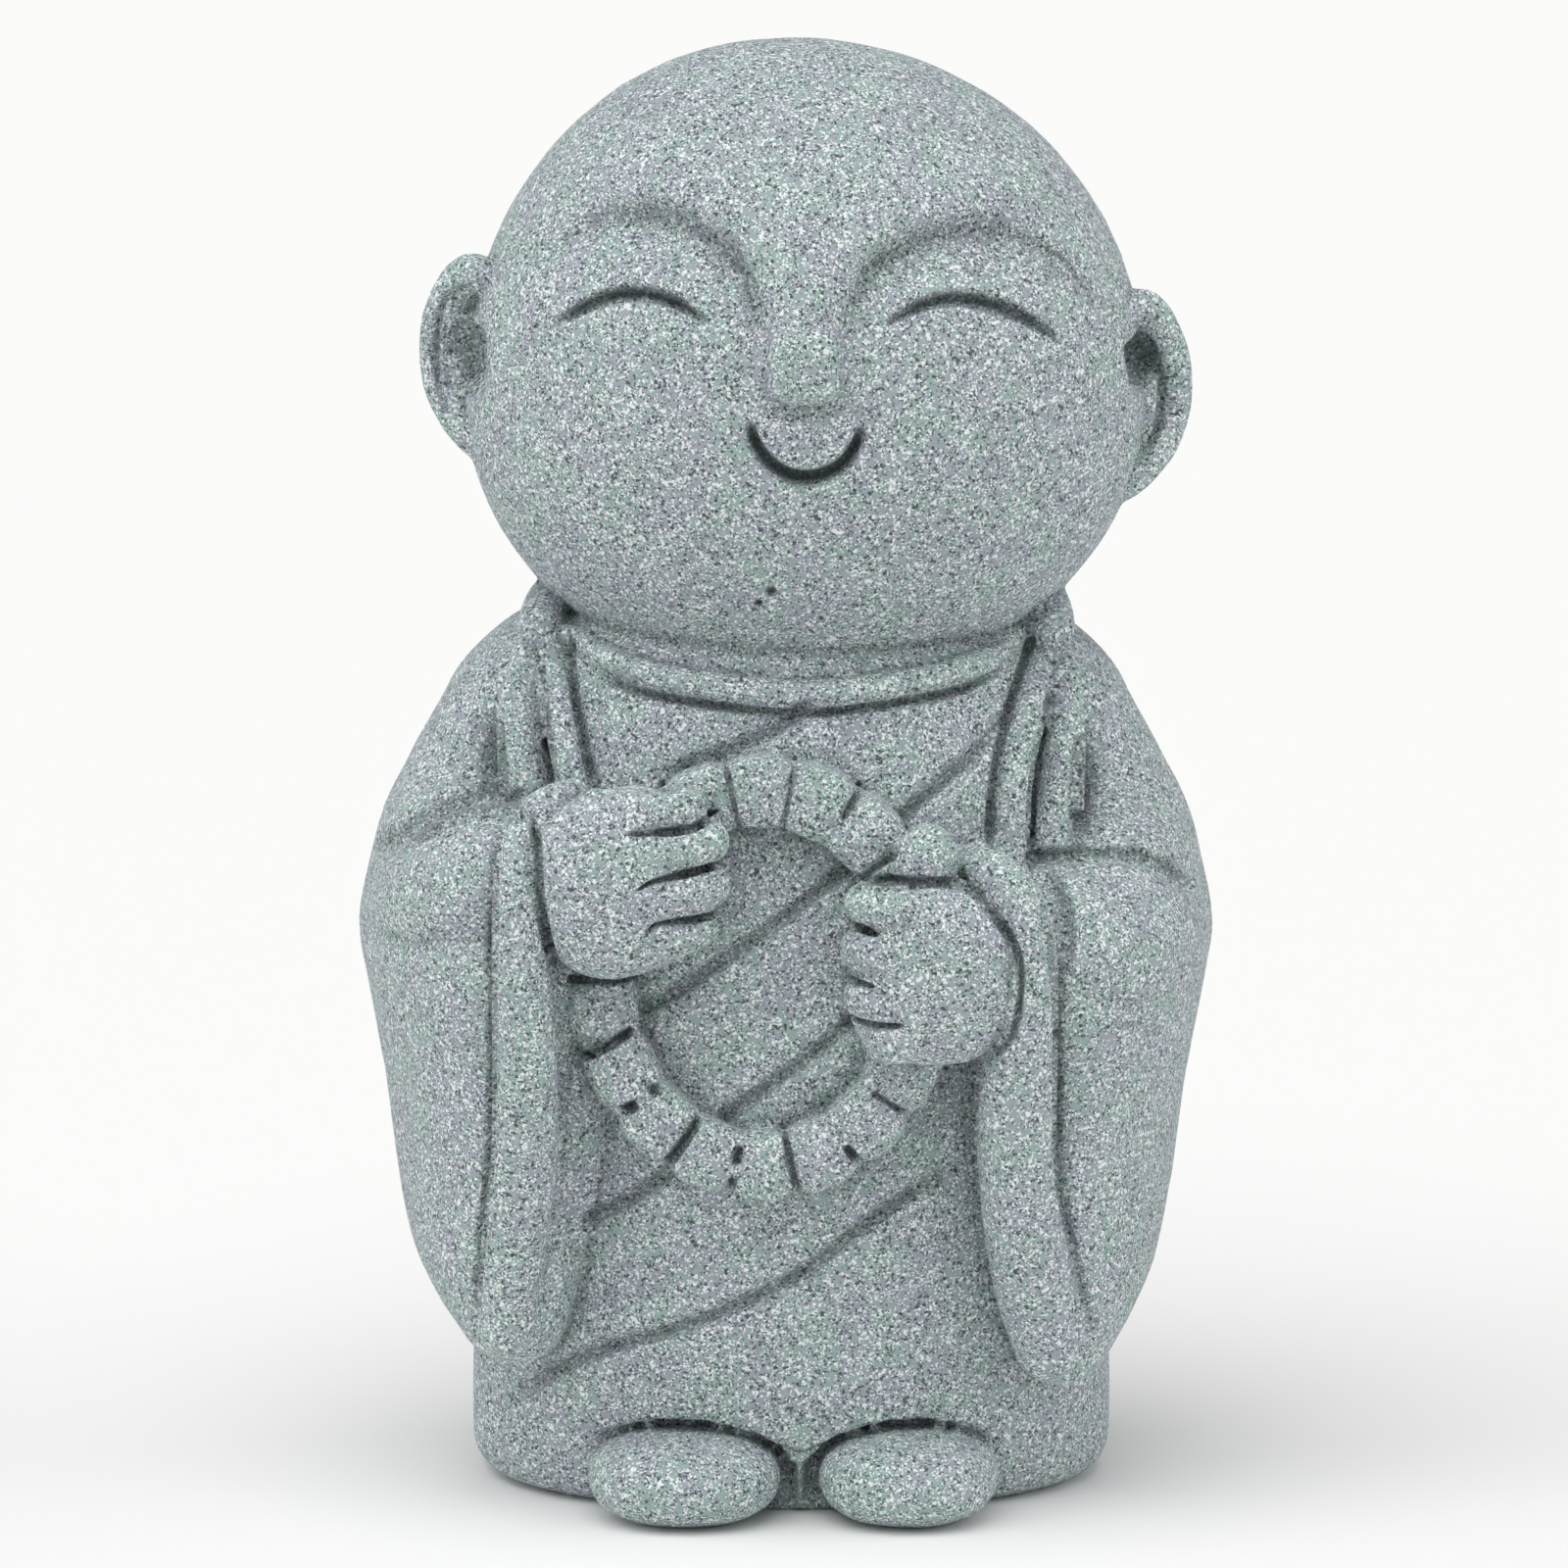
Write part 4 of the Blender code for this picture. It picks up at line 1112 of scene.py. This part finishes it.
    def roughen(self, mesh: bpy.types.Mesh) -> None:
        """Gives the skin the soft unevenness of a hand-finished mould and the grit of the cast."""
        points, normals = points_of(mesh)
        rise = np.array(
            [
                self.lump_height * noise.noise(Vector(p) / self.lump_size)
                + self.grit_height * noise.noise(Vector(p) / self.grit_size)
                for p in points.tolist()
            ]
        )
        move_to(mesh, points + normals * rise[:, None])

    def thin(self, mesh: bpy.types.Mesh) -> bpy.types.Mesh:
        """Collapses the skin to its triangle budget, most of them where it curves."""
        owner = put("thin", mesh)
        owner.modifiers.new("triangles", "TRIANGULATE")
        triangles = sum(len(face.vertices) - 2 for face in mesh.polygons)
        fewer = owner.modifiers.new("fewer", "DECIMATE")
        fewer.ratio = min(1.0, TRIANGLES / triangles)
        thinned = evaluated(owner)
        bpy.data.objects.remove(owner)
        return thinned

    def cut_flat(self, mesh: bpy.types.Mesh) -> None:
        """Cuts the statue off at the surface it stands on and closes its underside."""
        shape = bmesh.new()
        shape.from_mesh(mesh)
        everything = shape.verts[:] + shape.edges[:] + shape.faces[:]
        bmesh.ops.bisect_plane(
            shape,
            geom=everything,
            dist=SHARE * PLANE_REACH,
            plane_co=(0, 0, 0),
            plane_no=(0, 0, 1),
            clear_inner=True,
        )
        rim = [edge for edge in shape.edges if edge.is_boundary]
        bmesh.ops.triangle_fill(shape, edges=rim, use_beauty=True)
        bmesh.ops.recalc_face_normals(shape, faces=shape.faces)
        shape.to_mesh(mesh)
        shape.free()

    def standing_out(self, mesh: bpy.types.Mesh, rounds: int) -> np.ndarray:
        """How far each point stands off the mesh once that is smoothed.

        Args:
            mesh: A mesh of even quads.
            rounds: How many times each point moves half way to the middle of its neighbours.

        Returns:
            The distances in hundredths: over 0 on edges and under 0 in corners.
        """
        points, normals = points_of(mesh)
        edges = np.empty(len(mesh.edges) * 2, np.int32)
        mesh.edges.foreach_get("vertices", edges)
        a, b = edges.reshape(-1, 2).T
        count = np.bincount(edges, minlength=len(points))
        smooth = points.astype(float)
        for _ in range(rounds):
            total = np.empty_like(smooth)
            for axis in range(3):
                column = smooth[:, axis]
                total[:, axis] = np.bincount(a, column[b], len(points))
                total[:, axis] += np.bincount(b, column[a], len(points))
            smooth = 0.5 * smooth + 0.5 * total / count[:, None]
        return ((points - smooth) * normals).sum(1)

    def wear_and_painted_shade(self, mesh: bpy.types.Mesh, skin: bpy.types.Mesh, strokes: Iterable[Stroke]) -> None:
        """Writes where the casting is rubbed, and how much painted shade its corners, cuts and air holes get.

        Args:
            mesh: The finished casting.
            skin: The even skin that it was made from, before carving.
            strokes: The lines that were cut.
        """
        source, _ = points_of(skin)
        standing = self.standing_out(skin, self.edge_rounds)
        raised = np.clip((standing - self.edge_start) / self.edge_scale, 0, 1)
        # Painted shade for the corners: how deep each point lies in a hollow of the skin
        painted_corner_shade = np.clip(-self.standing_out(skin, self.corner_rounds) / self.corner_scale, 0, 1)
        tree = kdtree.KDTree(len(source))
        for number, point in enumerate(source.tolist()):
            tree.insert(point, number)
        tree.balance()
        points, _ = points_of(mesh)
        nearest = np.array([tree.find(point)[1] for point in points.tolist()])
        # Painted shade along each cut, as strong as its stroke asks for
        painted_cut_shade = np.zeros(len(points))
        for stroke in strokes:
            index, signed, share = stroke.measured(points, self.robe)
            painted_cut_shade[index] = np.maximum(painted_cut_shade[index], stroke.painted_cut_shade * stroke.amount(signed, share, spread=1.1))
        # The air holes get painted shade too
        for pit in self.head.pits:
            painted_cut_shade = np.maximum(painted_cut_shade, bell(self.pit_distance(points, pit), pit.radius, self.pit_wall))
        layers = {"raised": raised[nearest], "painted_corner_shade": painted_corner_shade[nearest], "painted_cut_shade": painted_cut_shade}
        for name, values in layers.items():
            layer = mesh.attributes.new(name, "FLOAT", "POINT")
            layer.data.foreach_set("value", values.astype(np.float32))

    def cast(self, material: bpy.types.Material) -> bpy.types.Object:
        """Makes the finished casting.

        Args:
            material: Its stone.

        Returns:
            The piece, in place.
        """
        strokes = self.strokes()
        skin = self.fuse(self.blocks())
        LOG.info("fused skin: %d points", len(skin.vertices))
        carved = skin.copy()
        self.refine(carved, strokes)
        self.carve(carved, strokes)
        LOG.info("carved skin: %d points", len(carved.vertices))
        mesh = self.thin(carved)
        self.roughen(mesh)
        self.cut_flat(mesh)
        self.wear_and_painted_shade(mesh, skin, strokes)
        mesh.materials.clear()
        mesh.materials.append(material)
        mesh.shade_smooth()
        return put("monk_casting", mesh)


def linear(code: str) -> tuple[float, float, float, float]:
    """Turns an sRGB hex colour to linear.

    Args:
        code: Six hex digits after a hash sign.

    Returns:
        Red, green, blue and full opacity.
    """
    shares = [int(code[i : i + 2], 16) / 255 for i in (1, 3, 5)]
    red, green, blue = (c / 12.92 if c <= 0.04045 else ((c + 0.055) / 1.055) ** 2.4 for c in shares)
    return red, green, blue, 1.0


Value = float | tuple[float, ...] | bpy.types.NodeSocket


def add(
    tree: bpy.types.NodeTree, kind: str, inputs: dict[str | int, Value] | None = None, **settings: object
) -> bpy.types.Node:
    """Adds a node.

    Args:
        tree: The material's nodes.
        kind: Blender's name for the node, without its ShaderNode.
        inputs: What each input gets: a value, or the output that is linked to it.
        settings: The node's own settings.

    Returns:
        The node.
    """
    node = tree.nodes.new("ShaderNode" + kind)
    for name, value in settings.items():
        setattr(node, name, value)
    for name, value in (inputs or {}).items():
        if isinstance(value, bpy.types.NodeSocket):
            tree.links.new(value, node.inputs[name])
        else:
            node.inputs[name].default_value = value
    return node


def blank(name: str) -> tuple[bpy.types.Material, bpy.types.Node, bpy.types.NodeSocket]:
    """Starts a material: the material, its shader, and the place on the object that its patterns use."""
    material = bpy.data.materials.new(name)
    material.use_nodes = True
    tree = material.node_tree
    return material, tree.nodes["Principled BSDF"], add(tree, "TexCoord").outputs["Object"]


@dataclass(frozen=True)
class CastStone:
    """Crushed grey-green stone bound with cement, poured in a mould and left dry.

    It is matt and sandy all over: the crushed rock shows as green-grey and violet-grey grains, with crisp
    specks of white quartz and dark mica. Rubbed edges show more of the green rock. Corners and cuts are
    painted darker, as the shade that falls in them.
    """

    violet: str = "#a1a5b1"
    green: str = "#9ab3ac"
    quartz: str = "#f3f8f8"
    mica: str = "#38413f"
    # Painted shade: the colour that the cuts are painted towards, and the one that the corners are multiplied
    # by
    cut: str = "#2b3735"
    corner: str = "#67706f"
    # Sizes of the coarse grains and of the fine sand, and of the patches that they drift in, in millimetres
    grain: float = 0.21
    sand: float = 0.12
    patch: float = 3.5
    patch_detail: float = 3.0
    # Shares of the fine sand and of the coarse grains that are quartz, and that are mica
    fine_quartz: float = 0.17
    fine_mica: float = 0.18
    coarse_quartz: float = 0.06
    coarse_mica: float = 0.04
    speck_cover: float = 0.82
    # How far the patches drift to either side, and the ranges that patches and lean are read over
    drift: float = 0.3
    patch_range: tuple[float, float] = (0.35, 0.65)
    lean_range: tuple[float, float] = (0.25, 0.95)
    # How dark the painted shade is in the corners and in the cuts
    corner_shade_strength: float = 0.55
    cut_shade_strength: float = 0.9
    # Height of the grains in millimetres
    grain_relief: float = 0.05
    relief_strength: float = 0.8
    roughness: float = 0.9
    ior: float = 1.5
    specular: float = 0.3

    def material(self) -> bpy.types.Material:
        """Builds the node material."""
        material, shader, place = blank("cast_crushed_stone")
        tree = material.node_tree

        def cells(size: float) -> bpy.types.Node:
            """Grains of that size in millimetres, each with a random colour."""
            return add(tree, "TexVoronoi", {"Vector": place, "Scale": 1 / (size * MILLIMETRE)})

        def mixed(factor: Value, a: Value, b: Value, blend: str = "MIX") -> bpy.types.NodeSocket:
            """Two colours mixed by a factor."""
            return add(tree, "Mix", {0: factor, 6: a, 7: b}, data_type="RGBA", blend_type=blend).outputs[2]

        def ranged(value: Value, low: float, high: float, to_low: float = 0.0, to_high: float = 1.0) -> Value:
            """A value moved from one range to another."""
            inputs = {"Value": value, "From Min": low, "From Max": high, "To Min": to_low, "To Max": to_high}
            return add(tree, "MapRange", inputs).outputs["Result"]

        def times(a: Value, b: Value) -> Value:
            """The product of two values, kept between 0 and 1."""
            return add(tree, "Math", {0: a, 1: b}, operation="MULTIPLY", use_clamp=True).outputs[0]

        def plus(a: Value, b: Value) -> Value:
            """The sum of two values."""
            return add(tree, "Math", {0: a, 1: b}, operation="ADD").outputs[0]

        def specks(draw: Value, share: float) -> Value:
            """Covers the cells whose random number falls in the top share."""
            return ranged(draw, 1 - share, 1 - share * 0.9, 0.0, self.speck_cover)

        grains, sand = cells(self.grain), cells(self.sand)
        coarse, fine = (
            add(tree, "SeparateColor", {0: node.outputs["Color"]}).outputs for node in (grains, sand)
        )
        pattern = {"Vector": place, "Scale": 1 / (self.patch * MILLIMETRE), "Detail": self.patch_detail}
        patches = add(tree, "TexNoise", pattern).outputs["Fac"]
        # The rubbed edges, and the painted shade of the corners and of the cuts, as written on the casting
        raised, painted_corner_shade, painted_cut_shade = (
            add(tree, "Attribute", attribute_name=name).outputs["Fac"]
            for name in ("raised", "painted_corner_shade", "painted_cut_shade")
        )

        # Each grain is green or violet, and more of them are green where the casting is rubbed
        drift = ranged(patches, *self.patch_range, -self.drift, self.drift)
        lean = plus(coarse[2], plus(raised, drift))
        ground = mixed(ranged(lean, *self.lean_range), linear(self.violet), linear(self.green))

        # Fine sand first, then the coarse grains that lie in it
        peppered = mixed(specks(fine[0], self.fine_mica), ground, linear(self.mica))
        salted = mixed(specks(fine[1], self.fine_quartz), peppered, linear(self.quartz))
        darker = mixed(specks(coarse[0], self.coarse_mica), salted, linear(self.mica))
        flecked = mixed(specks(coarse[1], self.coarse_quartz), darker, linear(self.quartz))

        # Painted shade: the corners are multiplied towards a dark grey and the cuts are painted nearly their
        # dark colour
        corner_shaded = mixed(times(painted_corner_shade, self.corner_shade_strength), flecked, linear(self.corner), "MULTIPLY")
        colour = mixed(times(painted_cut_shade, self.cut_shade_strength), corner_shaded, linear(self.cut))

        relief = {
            "Height": sand.outputs["Distance"],
            "Strength": self.relief_strength,
            "Distance": self.grain_relief * MILLIMETRE,
        }
        bump = add(tree, "Bump", relief, invert=True)
        tree.links.new(colour, shader.inputs["Base Color"])
        tree.links.new(bump.outputs["Normal"], shader.inputs["Normal"])
        shader.inputs["Roughness"].default_value = self.roughness
        shader.inputs["IOR"].default_value = self.ior
        shader.inputs["Specular IOR Level"].default_value = self.specular
        return material


@dataclass(frozen=True)
class PaperSweep:
    """Uncoated white background paper: matt, with a faint tooth."""

    colour: str = "#f6f6f5"
    # Size of the fibres in millimetres, and the faint tooth that they give, with its height in metres
    fibre: float = 0.6
    detail: float = 2.0
    tooth_strength: float = 0.05
    tooth_height: float = 0.0001
    roughness: float = 0.95
    specular: float = 0.1

    def material(self) -> bpy.types.Material:
        """Builds the node material."""
        material, shader, place = blank("uncoated_paper")
        tree = material.node_tree
        pattern = {"Vector": place, "Scale": 1 / (self.fibre * MILLIMETRE), "Detail": self.detail}
        height = add(tree, "TexNoise", pattern).outputs["Fac"]
        relief = {"Height": height, "Strength": self.tooth_strength, "Distance": self.tooth_height}
        bump = add(tree, "Bump", relief)
        tree.links.new(bump.outputs["Normal"], shader.inputs["Normal"])
        shader.inputs["Base Color"].default_value = linear(self.colour)
        shader.inputs["Roughness"].default_value = self.roughness
        shader.inputs["Specular IOR Level"].default_value = self.specular
        return material


@dataclass(frozen=True)
class SoftLight:
    """A huge soft light far away: its strength, degrees up, degrees to the side and degrees that it spans."""

    name: str
    strength: float
    elevation: float
    azimuth: float
    span: float = 60.0


@dataclass(frozen=True)
class Studio:
    """A pale paper floor in a white tent with wide soft lights, and the photograph's camera."""

    floor_size: float = 8.0
    tent: float = 0.30
    lights: tuple[SoftLight, ...] = (
        SoftLight("overhead", strength=1.8, elevation=68.0, azimuth=-20.0),
        SoftLight("left", strength=0.85, elevation=25.0, azimuth=-78.0),
        SoftLight("right", strength=0.85, elevation=25.0, azimuth=78.0),
    )
    # The curve of the hem and feet in the photograph gives the height of the eye, and the figure's 1518 of
    # 1600 pixels give the width of the view. The distance is the one that fits the outline.
    camera_target: Triple = (-0.0005, 0.0, 0.04835)
    camera_distance: float = 0.70
    camera_elevation: float = 10.0
    sensor: float = 36.0
    view_width: float = 1.6 / 14.75
    near_clip: float = 0.01

    def point_at(self, thing: bpy.types.Object, target: Triple) -> None:
        """Turns a light or camera to look at a place."""
        thing.rotation_mode = "QUATERNION"
        thing.rotation_quaternion = (Vector(target) - thing.location).to_track_quat("-Z", "Y")

    def lay_floor(self, material: bpy.types.Material) -> None:
        """Lays the paper under the statue."""
        shape = bmesh.new()
        bmesh.ops.create_grid(shape, x_segments=4, y_segments=4, size=self.floor_size / 2)
        mesh = settled(shape, "floor")
        mesh.materials.append(material)
        floor = put("floor", mesh)

    def hang_lights(self) -> None:
        """Sets the white tent and the lights round it."""
        world = bpy.data.worlds.new("tent")
        world.use_nodes = True
        background = world.node_tree.nodes["Background"]
        background.inputs["Color"].default_value = (1, 1, 1, 1)
        background.inputs["Strength"].default_value = self.tent
        bpy.context.scene.world = world
        for soft in self.lights:
            lamp = bpy.data.lights.new(soft.name, "SUN")
            lamp.energy = soft.strength
            lamp.angle = math.radians(soft.span)
            light = put(soft.name, lamp)
            up, side = math.radians(soft.elevation), math.radians(soft.azimuth)
            light.location = (math.cos(up) * math.sin(side), -math.cos(up) * math.cos(side), math.sin(up))
            self.point_at(light, (0, 0, 0))

    def place_camera(self) -> None:
        """Stands the camera where the photograph was taken from."""
        lens = bpy.data.cameras.new("camera")
        lens.sensor_width = self.sensor
        lens.lens = self.sensor * self.camera_distance / self.view_width
        lens.clip_start = self.near_clip
        camera = put("camera", lens)
        lift = math.radians(self.camera_elevation)
        back = Vector((0, -math.cos(lift), math.sin(lift)))
        camera.location = Vector(self.camera_target) + back * self.camera_distance
        self.point_at(camera, self.camera_target)
        bpy.context.scene.camera = camera

    def build(self) -> None:
        """Sets the whole studio up."""
        self.lay_floor(PaperSweep().material())
        self.hang_lights()
        self.place_camera()
        bpy.context.scene.view_settings.view_transform = "Standard"


def monk() -> StoneMonk:
    """Puts the figure's sub-assemblies together."""
    robe, head = Robe(), Head()
    high_sleeve = Sleeve(
        arm=Arm.HIGH,
        reach=1.0,
        cuff_height=44.3,
        elbow_height=39.0,
        cuff=(
            (-14.8, -17.0, 50.6, 1.2),
            (-16.8, -19.6, 49.8, 1.45),
            (-18.3, -21.0, 46.5, 1.6),
            (-18.3, -21.3, 41.0, 1.9),
            (-18.0, -20.6, 34.0, 2.2),
            (-18.1, -19.6, 26.0, 2.3),
            (-18.9, -18.4, 19.4, 2.25),
            (-19.3, -17.4, 14.0, 2.1),
        ),
        cuff_line=((-19.6, 49.0), (-20.0, 45.0), (-20.2, 35.0), (-20.4, 27.0), (-21.3, 18.0), (-21.6, 13.0)),
        crease=((-28.6, 44.4), (-25.2, 47.3), (-21.8, 48.9), (-17.6, 50.0)),
        dimple=((-20.0, 54.6), (-19.8, 51.5), (-19.5, 48.6)),
        tip_lift=1.6,
        tip_widening=1.1,
    )
    low_sleeve = Sleeve(
        arm=Arm.LOW,
        reach=0.975,
        cuff_height=39.8,
        elbow_height=36.8,
        cuff=(
            (11.4, -17.2, 46.0, 1.3),
            (13.8, -19.6, 45.4, 1.7),
            (15.6, -20.8, 42.8, 1.9),
            (15.9, -21.0, 38.0, 2.1),
            (15.4, -20.0, 32.0, 2.6),
            (15.3, -19.1, 27.0, 2.75),
            (15.9, -18.1, 20.5, 2.8),
            (16.8, -17.1, 15.5, 2.7),
            (17.5, -16.5, 12.3, 2.3),
        ),
        cuff_line=(
            (16.5, 44.4),
            (17.4, 41.0),
            (17.9, 37.0),
            (18.0, 31.0),
            (18.2, 24.9),
            (18.8, 21.5),
            (19.5, 18.2),
            (20.1, 15.2),
            (20.5, 12.5),
        ),
        crease=((27.6, 42.6), (24.6, 45.3), (20.6, 46.1), (15.8, 45.9)),
        dimple=((19.2, 46.3), (19.3, 50.0), (19.6, 53.6)),
    )
    high_hand = Hand(
        arm=Arm.HIGH,
        palm=(
            ((-11.5, -20.2, 45.2), (6.1, 4.2, 6.3), (0, -16, 0), 2.6),
            ((-15.0, -17.6, 44.6), (4.0, 4.0, 5.4), (0, 0, 0), 2.2),
        ),
        knuckle=-10.4,
        fingers=(
            Finger(height=50.6, tip=-6.0, drop=0.1, radius=1.15),
            Finger(height=48.2, tip=-4.7, drop=0.6, radius=1.55),
            Finger(height=45.2, tip=-4.7, drop=0.9, radius=1.65),
            Finger(height=42.3, tip=-5.4, drop=1.3, radius=1.35),
        ),
        gaps=(
            ((-11.0, 49.2), (-9.7, 49.2), (-7.1, 49.4), (-4.8, 50.0)),
            ((-10.4, 45.3), (-9.3, 45.9), (-7.1, 46.4), (-4.0, 46.9)),
            ((-9.7, 42.4), (-8.9, 43.0), (-6.4, 43.2), (-4.4, 43.3)),
        ),
        wrist=((-17.4, 50.2), (-17.1, 47.9), (-16.8, 44.0), (-15.9, 39.3)),
    )
    low_hand = Hand(
        arm=Arm.LOW,
        palm=(
            ((9.4, -20.2, 39.1), (5.6, 4.2, 6.3), (0, 4, 0), 2.7),
            ((12.4, -17.6, 39.2), (3.8, 4.0, 5.2), (0, 0, 0), 2.2),
        ),
        knuckle=8.6,
        fingers=(
            Finger(height=44.0, tip=4.0, drop=0.1, radius=1.45),
            Finger(height=40.9, tip=3.8, drop=0.0, radius=1.65),
            Finger(height=37.6, tip=4.0, drop=-0.1, radius=1.5),
            Finger(height=34.7, tip=5.2, drop=-0.3, radius=1.55),
        ),
        gaps=(
            ((2.0, 42.8), (4.1, 42.6), (5.8, 42.3)),
            ((2.0, 39.3), (4.0, 38.9), (5.6, 38.7)),
            ((3.0, 36.4), (5.4, 36.0), (7.6, 36.1)),
        ),
        wrist=(
            (4.2, 45.2),
            (8.1, 45.6),
            (11.4, 45.3),
            (13.2, 43.9),
            (14.9, 41.4),
            (15.4, 38.9),
            (14.8, 35.2),
            (13.2, 33.3),
        ),
    )
    ears = (
        Ear(
            arm=Arm.HIGH,
            head=head,
            inset=20.7,
            raised=2.2,
            line=((-22.0, 83.6), (-23.6, 82.6), (-24.2, 80.0), (-24.2, 77.0), (-23.4, 74.0)),
            bowl=((-21.6, 81.0), (-21.9, 78.4), (-21.7, 75.8)),
        ),
        Ear(
            arm=Arm.LOW,
            head=head,
            inset=20.8,
            raised=-0.2,
            line=((23.9, 80.2), (25.0, 78.1), (25.4, 76.1), (25.0, 73.3), (23.6, 71.0)),
            bowl=((23.3, 80.2), (24.1, 78.3), (23.9, 76.4)),
        ),
    )
    return StoneMonk(
        robe=robe,
        feet=(Foot(-7.3, 6.6), Foot(8.0, 6.15)),
        sleeves=(high_sleeve, low_sleeve),
        collar=Collar(robe),
        head=head,
        ears=ears,
        ring=BeadRing(robe),
        hands=(high_hand, low_hand),
    )


def main() -> None:
    """Casts the monk, sets the studio and reports each piece."""
    logging.basicConfig(level=logging.INFO, format="%(name)s: %(message)s")
    piece = monk().cast(CastStone().material())
    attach(piece, BODY)
    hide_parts(NODE)
    LOG.info("%s: %d triangles, rides on %s", piece.name, len(piece.data.polygons), BODY)
    Studio().build()


if __name__ == "__main__":
    main()
